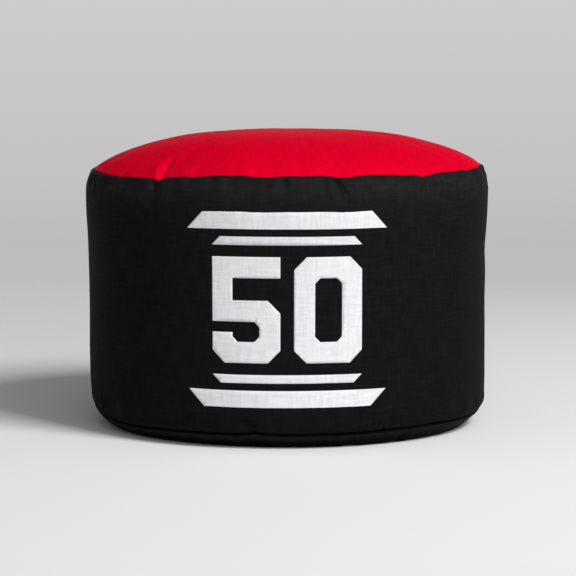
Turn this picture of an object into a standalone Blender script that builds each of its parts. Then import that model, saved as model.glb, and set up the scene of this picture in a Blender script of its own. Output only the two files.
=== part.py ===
"""Round sandbag trainer: a sewn drum of heavy cloth round a liner full of sand.

Metres, +Z up. The bag stands on its base, its front towards -Y. The base is two
half rounds with a heavy zip between them, along X, sunk in a shallow valley so
that the slider never meets the floor. Inside, a liner holds the sand, and its
filling neck folds over above the zip.
"""

import math

import bmesh
import bpy
from mathutils import Matrix

# Clearance between neighbouring pieces, and how far a cutter runs past a face
gap = 0.0003
overrun = 0.002
weld_share = 0.01           # of the gap: points nearer than this become one
smooth_degrees = 40         # faces that meet at less than this are shaded as one

# Bag outline
bag_radius = 0.200          # widest, at the roll below the top seam
wall_height = 0.2407        # from base seam to top seam
crown_height = 0.0365       # top of the crown above the top seam
top_seam_inset = 0.0082     # top seam, in from the widest place
base_seam_inset = 0.0085    # base seam, in from the widest place
base_edge_rise = 0.0161     # base seam above the floor
base_edge_run = 0.0195      # from the base seam in to where the base lies flat

# Crown: height falls as (1 - r^swell)^(1/shoulder)
crown_swell_share = 2.77
crown_shoulder_share = 1.3
crown_radius_shares = (0, 0.28, 0.48, 0.65, 0.79, 0.89, 0.95, 0.981, 1)

# Wall: share of the height between the seams, share of the bulge past the seams
wall_outline_shares = (
    (1, 0), (0.99, 0.37), (0.972, 0.66), (0.943, 0.9), (0.897, 1), (0.814, 0.94),
    (0.70, 0.79), (0.515, 0.72), (0.19, 0.64), (0.091, 0.59), (0.029, 0.38), (0, 0),
)

# Base edge: share of the run, and the power that its rise follows
base_edge_run_shares = (1, 0.72, 0.42, 0.15, 0)
base_edge_power_share = 1.6
turns = 36                  # facets round the bag

# Cloth, seams and their bindings
cloth = 0.0014
seam_allowance = 0.013
binding_cloth = 0.0008
binding_cover = 0.005       # how far the binding laps the allowance
side_binding_width = 0.026
side_binding_turns = 2

# Zip chain, of the heaviest moulded kind
tooth_pitch = 0.0052
tooth_height = 0.003        # through the chain
tooth_leg_half = 0.0012
tooth_neck_half = 0.00075
tooth_room = 0.00052        # between a head and the two necks that it sits between
tooth_tip_half = 0.0007
tooth_leg_end = 0.0046      # from the chain's middle to the back of the legs
tooth_neck_at = 0.001       # waist, behind the chain's middle
tooth_head_at = 0.0006      # widest place, past the chain's middle
tooth_tip_at = 0.0016       # tip, past the chain's middle
cord_width = 0.0009         # cord in the tape's edge, which carries the teeth
tape_slot_depth = 0.0014    # how deep the legs grip the tape
tape_thickness = 0.0008
tape_width = 0.0185
tape_tail = 0.007           # tape past the stops
zip_end_room = 0.055        # from the chain's end to the edge of the flat base
zip_side_room = 0.0018      # between the slider's side and the base panel's edge
valley_slope = 0.017        # run of the panel from the zip down to the floor
valley_line_shares = (0, 0.3, 0.7, 1)
stop_length = 0.004
path_step_share = 0.1       # of the pitch: step over which a row's turn is taken

# Slider and pull tab
slider_length = 0.022
slider_plate = 0.0014
slider_flange = 0.0013
row_spread = 0.0036         # how far each row is parted at the slider's mouth
spread_start_share = -0.36  # along the slider, from its middle
spread_end_share = 0.41
slider_station_shares = (-0.5, -0.36, -0.2, -0.03, 0.14, 0.3, 0.41, 0.5)
wedge_station_shares = (0.09, 0.15, 0.21, 0.27, 0.33, 0.39, 0.44)
bridge_length = 0.013
bridge_width = 0.0032
bridge_bar = 0.0013
bridge_corner = 0.0011      # chamfer of its two outer corners
bridge_room = 0.0026        # under the bridge, where the tab's pin sits
floor_room = 0.0024         # between the bridge and the floor
tab_length = 0.038
tab_width = 0.010
tab_thickness = 0.0016
tab_pin_end_share = 0.86    # width at the pin, of the tab's width
tab_pin_radius = 0.00095
tab_pin_turns = 10
tab_window_length = 0.0085
tab_window_half = 0.0021
tab_hole_radius = 0.0018
tab_hole_turns = 12
tab_round_turns = 8

# Liner, its filling neck and the sand
liner_cloth = 0.0008
liner_slack = 0.0012        # between the liner and the side seam's binding
neck_width = 0.150
neck_run = 0.046            # flat part of the folded neck
neck_stand = 0.004          # how far the neck reaches into the liner
neck_fold_turns = 6
grip_strip_thickness = 0.0012
grip_strip_width = 0.030
liner_slope = 0.012         # run of the liner's floor up over the zip and neck
liner_turns = 20
liner_skip_count = 3        # points of the wall's outline left out at each end of the liner's
liner_step_count = 2        # and it takes every second of the rest

# Heights and places that follow
weld = gap * weld_share
tooth_head_half = tooth_pitch / 2 - tooth_neck_half - tooth_room
slider_side_room = gap + slider_flange      # from the back of the legs to the slider's side
zip_reveal = tooth_leg_end + row_spread + slider_side_room + zip_side_room
slider_half_height = tooth_height / 2 + gap + slider_plate
bridge_height = bridge_room + bridge_bar
chain_height = floor_room + bridge_height + slider_half_height
panel_lift = chain_height - tape_thickness / 2 - gap - cloth
base_seam_radius = bag_radius - base_seam_inset
top_seam_radius = bag_radius - top_seam_inset
base_flat_radius = base_seam_radius - base_edge_run
top_seam_height = base_edge_rise + wall_height
tooth_count = int(2 * (base_flat_radius - zip_end_room) / tooth_pitch)
chain_half = tooth_count * tooth_pitch / 2
row_shift = tooth_pitch / 4     # the rows lie half a pitch apart
stop_start = chain_half + row_shift + gap
slider_rest = stop_start - gap - slider_length / 2
tape_end = stop_start + stop_length + tape_tail
tab_start = stop_start + stop_length + gap
tape_edge = tooth_leg_end - tape_slot_depth + gap
binding_half = gap / 2 + cloth + gap + binding_cloth
within_flats = math.cos(math.pi / turns)    # radius of a facet's middle, of its corner's
neck_cloth = 2 * liner_cloth
neck_fold = gap + grip_strip_thickness + gap + grip_strip_thickness + gap + neck_cloth
trough_height = chain_height + slider_half_height + gap
neck_low = trough_height + gap + neck_cloth / 2
neck_high = neck_low + neck_fold
neck_room_height = neck_high + neck_cloth / 2 + gap

colours = {
    "red_cloth": ((0.66, 0.004, 0.02), 0.85, 0),
    "black_cloth": ((0.012, 0.012, 0.013), 0.85, 0),
    "binding": ((0.02, 0.02, 0.02), 0.8, 0),
    "zip_tape": ((0.015, 0.015, 0.015), 0.8, 0),
    "zip_teeth": ((0.02, 0.02, 0.02), 0.4, 0),
    "zip_metal": ((0.05, 0.05, 0.05), 0.35, 1),
    "liner": ((0.35, 0.33, 0.28), 0.6, 0),
    "grip_strip": ((0.03, 0.03, 0.03), 0.95, 0),
    "sand": ((0.55, 0.42, 0.27), 0.95, 0),
}


def clear_scene():
    for obj in list(bpy.data.objects):
        bpy.data.objects.remove(obj)


def collection(name):
    made = bpy.data.collections.new(name)
    bpy.context.scene.collection.children.link(made)
    return made


def material(name):
    found = bpy.data.materials.get(name)
    if found:
        return found
    colour, roughness, metallic = colours[name]
    found = bpy.data.materials.new(name)
    found.use_nodes = True
    shader = found.node_tree.nodes["Principled BSDF"]
    shader.inputs["Base Color"].default_value = (*colour, 1)
    shader.inputs["Roughness"].default_value = roughness
    shader.inputs["Metallic"].default_value = metallic
    return found


clear_scene()
parts = collection("sandbag_trainer")
cutters = collection("cutters")
root = bpy.data.objects.new("sandbag_origin", None)
parts.objects.link(root)


def piece(name, mesh, finish, place=(0, 0, 0), parent=root):
    mesh.name = name
    obj = bpy.data.objects.new(name, mesh)
    mesh.materials.clear()
    mesh.materials.append(material(finish))
    parts.objects.link(obj)
    obj.parent = parent
    obj.location = place
    return obj


def cutter(mesh, place=(0, 0, 0), parent=None):
    obj = bpy.data.objects.new("cutter", mesh)
    cutters.objects.link(obj)
    obj.parent = parent
    obj.location = place
    obj.hide_render = True
    obj.display_type = "WIRE"
    return obj


def boolean(obj, other, operation):
    cut = obj.modifiers.new(operation.lower(), "BOOLEAN")
    cut.operation = operation
    cut.solver = "EXACT"
    cut.object = other


def taken_mesh(obj):
    """The evaluated mesh of obj, which is then removed."""
    bpy.context.view_layer.update()
    graph = bpy.context.evaluated_depsgraph_get()
    mesh = bpy.data.meshes.new_from_object(obj.evaluated_get(graph))
    bpy.data.objects.remove(obj)
    return mesh


def flat_mesh(outline, thickness):
    """A flat outline in XY, thick about z = 0."""
    curve = bpy.data.curves.new("outline", "CURVE")
    curve.dimensions = "2D"
    curve.fill_mode = "BOTH"
    curve.extrude = thickness / 2
    spline = curve.splines.new("POLY")
    spline.points.add(len(outline) - 1)
    for point, (x, y) in zip(spline.points, outline):
        point.co = (x, y, 0, 1)
    spline.use_cyclic_u = True
    obj = bpy.data.objects.new("outline", curve)
    cutters.objects.link(obj)
    mesh = taken_mesh(obj)
    bm = bmesh.new()
    bm.from_mesh(mesh)
    bmesh.ops.remove_doubles(bm, verts=bm.verts, dist=weld)
    bmesh.ops.recalc_face_normals(bm, faces=bm.faces)
    bm.to_mesh(mesh)
    bm.free()
    return mesh


def box_mesh(size, centre=(0, 0, 0)):
    bm = bmesh.new()
    bmesh.ops.create_cube(bm, size=1)
    bmesh.ops.scale(bm, vec=size, verts=bm.verts)
    bmesh.ops.translate(bm, vec=centre, verts=bm.verts)
    mesh = bpy.data.meshes.new("box")
    bm.to_mesh(mesh)
    bm.free()
    return mesh


def rod_mesh(radius, length, sides, tilt=0):
    """A rod along Z, tilted about X."""
    bm = bmesh.new()
    bmesh.ops.create_cone(bm, cap_ends=True, segments=sides, radius1=radius, radius2=radius,
                          depth=length, matrix=Matrix.Rotation(tilt, 4, "X"))
    mesh = bpy.data.meshes.new("rod")
    bm.to_mesh(mesh)
    bm.free()
    return mesh


def turned(outline, steps, closed=False, sweep=2 * math.pi):
    """An object that turns an outline of (radius, height) about Z, top to bottom."""
    count = len(outline)
    edges = [(i, i + 1) for i in range(count - 1)]
    if closed:
        edges.append((count - 1, 0))
    mesh = bpy.data.meshes.new("outline")
    mesh.from_pydata([(r, 0, z) for r, z in outline], edges, [])
    obj = bpy.data.objects.new("outline", mesh)
    cutters.objects.link(obj)
    screw = obj.modifiers.new("turn", "SCREW")
    screw.angle = sweep
    screw.steps = steps
    screw.render_steps = steps
    screw.use_merge_vertices = True
    screw.merge_threshold = weld
    return obj


def thickened(obj, thickness):
    """Gives an open surface its thickness, on its inner side."""
    shell = obj.modifiers.new("thickness", "SOLIDIFY")
    shell.thickness = thickness
    shell.offset = -1
    shell.use_even_offset = True
    shade(obj)
    return obj


def shade(obj):
    obj.data.shade_smooth()
    obj.data.set_sharp_from_angle(angle=math.radians(smooth_degrees))


def inset(points, distance):
    """The outline moved inwards by a distance, square to each of its runs."""
    normals = []
    for (r0, z0), (r1, z1) in zip(points, points[1:]):
        length = math.hypot(r1 - r0, z1 - z0)
        normals.append(((z1 - z0) / length, (r0 - r1) / length))
    moved = []
    for (r, z), (r0, z0), (r1, z1) in zip(points, normals[:1] + normals, normals + normals[-1:]):
        reach = distance / (1 + r0 * r1 + z0 * z1)
        moved.append((r + (r0 + r1) * reach if r else 0, z + (z0 + z1) * reach))
    return moved


def radius_at(points, height):
    """The outline's radius at a height, on its straight run there."""
    for (r0, z0), (r1, z1) in zip(points, points[1:]):
        if z0 >= height >= z1:
            return r1 + (r0 - r1) * (height - z1) / (z0 - z1)
    return points[-1][0]


def crown_points():
    """Crown outline from the middle to the top seam, on the outer face."""
    points = []
    for share in crown_radius_shares:
        rise = (1 - share ** crown_swell_share) ** (1 / crown_shoulder_share)
        points.append((top_seam_radius * share, top_seam_height + crown_height * rise))
    return points


def wall_points():
    """Wall outline from the top seam to the base seam, on the outer face."""
    points = []
    for up, bulge in wall_outline_shares:
        seam = base_seam_radius + (top_seam_radius - base_seam_radius) * up
        radius = seam + (bag_radius - seam) * bulge
        points.append((radius, base_edge_rise + wall_height * up))
    return points


def base_points():
    """Base outline from the base seam to the middle, on the outer face."""
    points = []
    for share in base_edge_run_shares:
        rise = base_edge_rise * share ** base_edge_power_share
        points.append((base_flat_radius + base_edge_run * share, rise))
    return points + [(0, 0)]


def shifted(points, up):
    return [(r, z + up) for r, z in points]


def top_panel():
    crown = crown_points()
    crown[-1] = (top_seam_radius, top_seam_height + gap / 2)
    outline = crown + [(top_seam_radius - seam_allowance, top_seam_height + gap / 2)]
    mesh = taken_mesh(turned(outline, turns))
    return thickened(piece("top_panel", mesh, "red_cloth"), cloth)


def side_panel():
    wall = wall_points()
    wall[0] = (top_seam_radius, top_seam_height - gap / 2)
    wall[-1] = (base_seam_radius, base_edge_rise + gap / 2)
    inner_top = (top_seam_radius - seam_allowance, top_seam_height - gap / 2)
    inner_base = (base_seam_radius - seam_allowance, base_edge_rise + gap / 2)
    mesh = taken_mesh(turned([inner_top] + wall + [inner_base], turns))
    return thickened(piece("side_panel", mesh, "black_cloth"), cloth)


def slice_mesh(bm, place, normal, drop=False, below=math.inf):
    """Cuts edges into the faces that lie below a height, and may drop what is past the plane."""
    faces = [face for face in bm.faces if all(vert.co.z < below for vert in face.verts)]
    edges = {edge for face in faces for edge in face.edges}
    verts = {vert for face in faces for vert in face.verts}
    bmesh.ops.bisect_plane(
        bm, geom=[*verts, *edges, *faces], dist=weld,
        plane_co=place, plane_no=normal, clear_outer=drop)


def fall(distance, run):
    """1 up to a line, falling evenly to 0 over the run past it."""
    return min(max(1 - distance / run, 0), 1)


def eased(share):
    """The same share with a soft start and end."""
    return share * share * (3 - 2 * share)


def base_cloth(name, keep_planes):
    """The base round with the zip's valley pressed up into it, cut to one piece."""
    base = base_points()
    seam = base_edge_rise - gap / 2
    base[0] = (base_seam_radius, seam)
    outline = [(base_seam_radius - seam_allowance, seam)] + base
    mesh = taken_mesh(turned(outline, turns))
    bm = bmesh.new()
    bm.from_mesh(mesh)
    for share in valley_line_shares:
        line = zip_reveal + gap + valley_slope * share
        slice_mesh(bm, (0, line, 0), (0, 1, 0), below=seam - overrun)
        slice_mesh(bm, (0, -line, 0), (0, 1, 0), below=seam - overrun)
    for place, normal in keep_planes:
        slice_mesh(bm, place, normal, drop=True)
    for vert in bm.verts:
        up = panel_lift * eased(fall(abs(vert.co.y) - zip_reveal - gap, valley_slope))
        vert.co.z = max(vert.co.z, up)
    bm.to_mesh(mesh)
    bm.free()
    return thickened(piece(name, mesh, "black_cloth"), cloth)


def base_panels():
    base_cloth("base_panel_front", [((0, -zip_reveal, 0), (0, 1, 0))])
    base_cloth("base_panel_rear", [((0, zip_reveal, 0), (0, -1, 0))])
    for name, side in (("base_end_tab_left", -1), ("base_end_tab_right", 1)):
        base_cloth(name, [
            ((0, zip_reveal - gap, 0), (0, 1, 0)),
            ((0, gap - zip_reveal, 0), (0, -1, 0)),
            ((side * tab_start, 0, 0), (-side, 0, 0)),
        ])


def seam_binding(name, seam_radius, seam_height):
    """Binding folded round the raw edges of a seam, open outwards."""
    edge = seam_radius - seam_allowance
    back = edge - gap - binding_cloth
    front = edge + binding_cover
    half = binding_half
    inner = half - binding_cloth
    outline = [
        (front, half), (front, inner), (edge - gap, inner), (edge - gap, -inner),
        (front, -inner), (front, -half), (back, -half), (back, half),
    ]
    mesh = taken_mesh(turned(shifted(outline, seam_height), turns, closed=True))
    return shaded_piece(name, mesh, "binding")


def shaded_piece(name, mesh, finish):
    obj = piece(name, mesh, finish)
    shade(obj)
    return obj


def side_binding():
    """Tape over the side seam at the back, from binding to binding."""
    lowest = base_edge_rise + binding_half + gap
    highest = top_seam_height - binding_half - gap
    inner = inset(wall_points(), cloth + gap)
    run = [(r * within_flats, z) for r, z in inner if lowest < z < highest]
    sweep = side_binding_width / bag_radius
    mesh = taken_mesh(turned(run, side_binding_turns, sweep=sweep))
    mesh.transform(Matrix.Rotation((math.pi - sweep) / 2, 4, "Z"))
    return thickened(piece("side_seam_binding", mesh, "binding"), binding_cloth)


def spread_at(x):
    """How far each row is parted from the chain's middle, at x along the slider."""
    start = slider_length * spread_start_share
    end = slider_length * spread_end_share
    return row_spread * eased(1 - fall(x - start, end - start))


def row_at(x):
    """The row's offset and turn at x along the bag, with the slider at rest."""
    local = x - slider_rest
    step = tooth_pitch * path_step_share
    slope = (spread_at(local + step) - spread_at(local - step)) / (2 * step)
    return spread_at(local), math.atan(slope)


def chain_stations(start, end):
    """Places along the chain where a flat strip beside it bends."""
    bends = [slider_rest + slider_length * share for share in slider_station_shares]
    return [start] + [x for x in bends if start < x < end] + [end]


def strip_outline(start, end, near, far):
    """A strip beside the rear row: its near edge follows the row, its far edge is straight."""
    near_edge = [(x, near + row_at(x)[0]) for x in chain_stations(start, end)]
    return near_edge + [(end, far), (start, far)]


def tooth_outline():
    """One moulded tooth of the rear row: legs at the back, neck, head and tip."""
    half = [
        (tooth_leg_half, tooth_leg_end), (tooth_neck_half, tooth_neck_at),
        (tooth_head_half, -tooth_head_at), (tooth_tip_half, -tooth_tip_at),
    ]
    return half + [(-x, y) for x, y in reversed(half)]


def mirrored(mesh):
    """The front twin of a rear piece."""
    twin = mesh.copy()
    twin.transform(Matrix.Scale(-1, 4, (0, 1, 0)))
    twin.flip_normals()
    return twin


def link_mesh():
    """One tooth on its length of cord, slotted for the tape, its cord open at both ends."""
    tooth = bpy.data.objects.new("tooth", flat_mesh(tooth_outline(), tooth_height))
    cutters.objects.link(tooth)
    grip = tooth_leg_end - tape_slot_depth
    cord_size = (2 * tooth_pitch, cord_width, tape_thickness + 2 * gap)
    cord = cutter(box_mesh(cord_size, (0, grip - gap - cord_width / 2, 0)))
    slot_size = (tooth_pitch, tape_slot_depth + overrun, tape_thickness + 2 * gap)
    slot = cutter(box_mesh(slot_size, (0, grip + slot_size[1] / 2, 0)))
    boolean(tooth, cord, "UNION")
    boolean(tooth, slot, "DIFFERENCE")
    mesh = taken_mesh(tooth)
    bm = bmesh.new()
    bm.from_mesh(mesh)
    for side in (1, -1):
        slice_mesh(bm, (side * tooth_pitch / 2, 0, 0), (side, 0, 0), drop=True)
    bm.to_mesh(mesh)
    bm.free()
    return mesh


def row_mesh(shift):
    """A row of linked teeth, shifted along the chain and bent along its path."""
    link = bpy.data.objects.new("link", link_mesh())
    cutters.objects.link(link)
    row = link.modifiers.new("row", "ARRAY")
    row.count = tooth_count
    row.use_relative_offset = False
    row.use_constant_offset = True
    row.constant_offset_displace = (tooth_pitch, 0, 0)
    row.use_merge_vertices = True
    row.merge_threshold = weld
    mesh = taken_mesh(link)
    bm = bmesh.new()
    bm.from_mesh(mesh)
    bmesh.ops.holes_fill(bm, edges=[edge for edge in bm.edges if edge.is_boundary])
    bmesh.ops.recalc_face_normals(bm, faces=bm.faces)
    for vert in bm.verts:
        along = vert.co.x - chain_half + tooth_pitch / 2 + shift
        offset, turn = row_at(along)
        vert.co.x = along - vert.co.y * math.sin(turn)
        vert.co.y = offset + vert.co.y * math.cos(turn)
    bm.to_mesh(mesh)
    bm.free()
    return mesh


def zip_rows():
    """Two rows of teeth on their cords, half a pitch apart, gripping the tapes."""
    place = (0, 0, chain_height)
    for name, side in (("rear", 1), ("front", -1)):
        teeth = row_mesh(side * row_shift)
        tape = flat_mesh(strip_outline(-tape_end, tape_end, tape_edge, tape_edge + tape_width),
                         tape_thickness)
        if side < 0:
            teeth, tape = mirrored(teeth), mirrored(tape)
        piece("zip_teeth_" + name, teeth, "zip_teeth", place)
        piece("zip_tape_" + name, tape, "zip_tape", place)


def zip_stops():
    """Top stops on each tape past the parted rows, and one bottom stop across both."""
    slot_height = tape_thickness + 2 * gap
    grip = tooth_leg_end - tape_slot_depth
    x = stop_start + stop_length / 2
    slot_size = (stop_length + 2 * overrun, tape_slot_depth + overrun, slot_height)
    slot_y = grip + slot_size[1] / 2
    for name, side in (("rear", 1), ("front", -1)):
        width = tooth_leg_end - tooth_neck_at
        mid = row_spread + tooth_neck_at + width / 2
        stop = piece("zip_top_stop_" + name, box_mesh((stop_length, width, tooth_height)),
                     "zip_teeth", (x, side * mid, chain_height))
        slot = box_mesh(slot_size, (x, side * (row_spread + slot_y), chain_height))
        boolean(stop, cutter(slot), "DIFFERENCE")
    size = (stop_length, 2 * tooth_leg_end, tooth_height)
    stop = piece("zip_bottom_stop", box_mesh(size), "zip_teeth", (-x, 0, chain_height))
    for side in (1, -1):
        slot = box_mesh(slot_size, (-x, side * slot_y, chain_height))
        boolean(stop, cutter(slot), "DIFFERENCE")


def slider_outline(extra):
    """Plan of the slider: it widens with the parted rows."""
    xs = [slider_length * share for share in slider_station_shares]
    side = [(x, tooth_leg_end + extra + spread_at(x)) for x in xs]
    return side + [(x, -y) for x, y in reversed(side)]


def wedge_outline():
    """The wedge that parts the rows, between their tips."""
    xs = [slider_length * share for share in wedge_station_shares]
    side = [(x, spread_at(x) - tooth_tip_at - gap) for x in xs]
    side = [(x, y) for x, y in side if y > gap]
    return side + [(x, -y) for x, y in reversed(side)]


def bridge_outline():
    """Side view of the bridge, as (x, depth below the plate)."""
    half = bridge_length / 2
    inner = half - bridge_bar
    root_in = -slider_plate / 2
    shoulder = bridge_height - bridge_corner
    return [
        (-half, root_in), (-half, shoulder), (bridge_corner - half, bridge_height),
        (half - bridge_corner, bridge_height), (half, shoulder), (half, root_in),
        (inner, root_in), (inner, bridge_room), (-inner, bridge_room), (-inner, root_in),
    ]


def zip_slider():
    mesh = flat_mesh(slider_outline(slider_side_room), 2 * slider_half_height)
    slider = piece("zip_slider", mesh, "zip_metal", (slider_rest, 0, chain_height))
    room = tooth_height + 2 * gap
    past_ends = 1 + gap / slider_length
    channel = [(x * past_ends, y) for x, y in slider_outline(gap)]
    boolean(slider, cutter(flat_mesh(channel, room), parent=slider), "DIFFERENCE")
    wedge = flat_mesh(wedge_outline(), room + slider_plate)
    boolean(slider, cutter(wedge, parent=slider), "UNION")
    slot_height = tape_thickness + 2 * gap
    for side in (1, -1):
        size = (slider_length + 2 * overrun, slider_flange + row_spread + 2 * overrun, slot_height)
        middle = side * (tooth_leg_end - overrun / 2 + size[1] / 2)
        boolean(slider, cutter(box_mesh(size, (0, middle, 0)), parent=slider), "DIFFERENCE")
    bridge = flat_mesh(bridge_outline(), bridge_width)
    bridge.transform(Matrix.Rotation(-math.pi / 2, 4, "X"))
    bridge_cutter = cutter(bridge, (0, 0, -slider_half_height), slider)
    boolean(slider, bridge_cutter, "UNION")
    return slider


def tab_outline():
    """Plan of the pull tab from its pin, at x = 0, to its round far end at -x."""
    half = tab_width / 2
    near = half * tab_pin_end_share
    angles = [math.pi * (1 / 2 + i / tab_round_turns) for i in range(tab_round_turns + 1)]
    far = [(half * math.cos(a) - tab_length + half, half * math.sin(a)) for a in angles]
    side = [(0, near), (-tab_window_length, near)]
    return side + far + [(x, -y) for x, y in reversed(side)]


def pull_tab(slider):
    depth = slider_half_height + bridge_room / 2
    tab = piece("zip_pull_tab", flat_mesh(tab_outline(), tab_thickness), "zip_metal",
                (0, 0, -depth), slider)
    tall = tab_thickness + 2 * overrun
    window_size = (tab_window_length + overrun, 2 * tab_window_half, tall)
    window = box_mesh(window_size, (overrun - window_size[0] / 2, 0, 0))
    boolean(tab, cutter(window, parent=tab), "DIFFERENCE")
    pin_length = tab_width * tab_pin_end_share - gap
    pin = rod_mesh(tab_pin_radius, pin_length, tab_pin_turns, math.pi / 2)
    boolean(tab, cutter(pin, parent=tab), "UNION")
    hole = rod_mesh(tab_hole_radius, tall, tab_hole_turns)
    hole_place = (tab_width / 2 - tab_length, 0, 0)
    boolean(tab, cutter(hole, hole_place, tab), "DIFFERENCE")


def liner_outline():
    """The liner's outer outline, inside the shell and clear of its seams."""
    under_crown = inset(crown_points(), cloth + gap)
    in_wall = inset(wall_points(), cloth + binding_cloth + gap + liner_slack)
    wall = in_wall[liner_skip_count:-liner_skip_count:liner_step_count]
    top_back = top_seam_radius - seam_allowance - binding_cloth - 2 * gap
    base_back = base_seam_radius - seam_allowance - binding_cloth - 2 * gap
    top_limit = top_seam_height - binding_half - gap
    base_limit = base_edge_rise + binding_half + gap
    floor = cloth + gap
    crown = [(r, z) for r, z in under_crown if r < top_back - overrun]
    (r0, z0), (r1, z1) = crown[-1], under_crown[len(crown)]
    crown_edge = z0 + (z1 - z0) * (top_back - r0) / (r1 - r0)
    wall = [(radius_at(in_wall, top_limit), top_limit)] + wall
    wall.append((radius_at(in_wall, base_limit), base_limit))
    outline = crown + [(top_back, crown_edge), (top_back, top_limit)] + wall + [
        (base_back, base_limit), (base_back, floor + base_edge_run / 2),
        (base_flat_radius, floor), (0, floor)]
    return [(r * within_flats, z) for r, z in outline]


def raised_floor(mesh, depth):
    """Lifts the floor of the liner or the sand over the zip and the folded neck."""
    zip_line = zip_reveal + tape_width + depth
    neck_x = neck_width / 2 + gap + depth
    bm = bmesh.new()
    bm.from_mesh(mesh)
    for side in (1, -1):
        for slope in (0, liner_slope):
            slice_mesh(bm, (0, side * (zip_line + slope), 0), (0, 1, 0), below=trough_height)
            slice_mesh(bm, (side * (neck_x + slope), 0, 0), (1, 0, 0), below=trough_height)
    for vert in bm.verts:
        x, y, z = vert.co
        over_zip = fall(abs(y) - zip_line, liner_slope)
        over_neck = fall(abs(x) - neck_x, liner_slope)
        top = trough_height + (neck_room_height - trough_height) * over_neck + depth
        vert.co.z = z + max(top - z, 0) * over_zip
    bmesh.ops.recalc_face_normals(bm, faces=bm.faces)
    bm.to_mesh(mesh)
    bm.free()
    return mesh


def liner():
    mesh = raised_floor(taken_mesh(turned(liner_outline(), liner_turns)), 0)
    bag = thickened(piece("liner_bag", mesh, "liner"), liner_cloth)
    mouth_y = -neck_run / 2
    size = (neck_width + 2 * gap, neck_cloth + 2 * gap, neck_stand)
    mouth = box_mesh(size, (0, mouth_y, neck_room_height + gap))
    boolean(bag, cutter(mouth), "DIFFERENCE")
    depth = liner_cloth + gap
    inner = inset(liner_outline(), depth)
    sand = raised_floor(taken_mesh(turned(inner, liner_turns)), depth)
    shaded_piece("sand_fill", sand, "sand")


def neck():
    """The neck drops out of the liner's mouth, runs to the rear and folds under itself."""
    start, end = -neck_run / 2, neck_run / 2
    bend = neck_fold / 2
    middle = neck_low + bend
    angles = [math.pi * i / neck_fold_turns for i in range(1, neck_fold_turns)]
    fold = [(end + bend * math.sin(a), middle + bend * math.cos(a)) for a in angles]
    path = [(start, neck_room_height + liner_cloth / 2), (start, neck_high), (end, neck_high)]
    path += fold + [(end, neck_low), (start, neck_low)]
    bm = bmesh.new()
    verts = [bm.verts.new((-neck_width / 2, y, z)) for y, z in path]
    edges = [bm.edges.new(pair) for pair in zip(verts, verts[1:])]
    moved = bmesh.ops.extrude_edge_only(bm, edges=edges)["geom"]
    bmesh.ops.translate(bm, vec=(neck_width, 0, 0),
                        verts=[item for item in moved if isinstance(item, bmesh.types.BMVert)])
    mesh = bpy.data.meshes.new("neck")
    bm.to_mesh(mesh)
    bm.free()
    obj = thickened(piece("liner_neck", mesh, "liner"), neck_cloth)
    obj.modifiers["thickness"].offset = 0
    strip = (neck_width, grip_strip_width, grip_strip_thickness)
    low = neck_low + neck_cloth / 2 + gap + grip_strip_thickness / 2
    high = low + grip_strip_thickness + gap
    piece("liner_hook_strip", box_mesh(strip), "grip_strip", (0, 0, low))
    piece("liner_loop_strip", box_mesh(strip), "grip_strip", (0, 0, high))


def build():
    top_panel()
    side_panel()
    base_panels()
    seam_binding("top_seam_binding", top_seam_radius, top_seam_height)
    seam_binding("base_seam_binding", base_seam_radius, base_edge_rise)
    side_binding()
    zip_rows()
    zip_stops()
    pull_tab(zip_slider())
    liner()
    neck()


build()
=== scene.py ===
"""Looks of a round sandbag trainer: a sewn cloth drum with a crowned red top and a printed
front, full of sand, with a heavy zip sunk in its base.

Metres, +Z up, the printed front towards -Y. Places round the bag are turns in radians from
the front, positive towards +X. Places down a panel are shares of the length of its outline.
"""

import math

import bmesh
import bpy
import numpy as np
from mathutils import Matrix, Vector


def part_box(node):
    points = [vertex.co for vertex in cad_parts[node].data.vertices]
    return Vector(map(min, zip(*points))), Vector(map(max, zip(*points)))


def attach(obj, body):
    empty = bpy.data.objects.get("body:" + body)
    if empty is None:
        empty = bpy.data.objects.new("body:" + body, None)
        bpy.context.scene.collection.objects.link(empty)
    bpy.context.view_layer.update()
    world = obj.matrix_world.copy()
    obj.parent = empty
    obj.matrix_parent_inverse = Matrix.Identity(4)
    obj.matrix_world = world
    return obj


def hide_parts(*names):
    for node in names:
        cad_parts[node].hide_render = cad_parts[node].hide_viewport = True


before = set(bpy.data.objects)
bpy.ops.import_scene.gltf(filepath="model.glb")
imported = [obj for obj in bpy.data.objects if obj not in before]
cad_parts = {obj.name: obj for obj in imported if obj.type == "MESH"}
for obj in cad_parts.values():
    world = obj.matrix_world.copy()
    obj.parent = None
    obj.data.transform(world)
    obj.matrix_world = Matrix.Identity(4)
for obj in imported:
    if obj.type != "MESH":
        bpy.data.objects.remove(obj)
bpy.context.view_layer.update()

MM = 0.001
BAG, SLIDER, PULL_TAB = "bag", "slider", "pull_tab"

# Cloth and seams, as in the CAD part
CLOTH = 1.4 * MM
ALLOWANCE = 13 * MM
GAP = 0.3 * MM
CROWN_SWELL = 2.77
CROWN_SHOULDER = 1.3
CROWN_SHARES = (0, 0.1, 0.28, 0.48, 0.65, 0.79, 0.89, 0.95, 0.981)
WALL_SHARES = (
    (0.972, 0.66), (0.943, 0.9), (0.897, 1), (0.814, 0.94), (0.70, 0.79),
    (0.515, 0.72), (0.19, 0.64), (0.091, 0.59), (0.029, 0.38),
)
BASE_EDGE_POWER = 1.6
BASE_EDGE_RUN = 19.5 * MM
VALLEY_SLOPE = 17 * MM
TAPE_EDGE = 3.5 * MM
TAPE_WIDTH = 18.5 * MM
TAPE_THICKNESS = 0.8 * MM
ROW_SPREAD = 3.6 * MM

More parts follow.
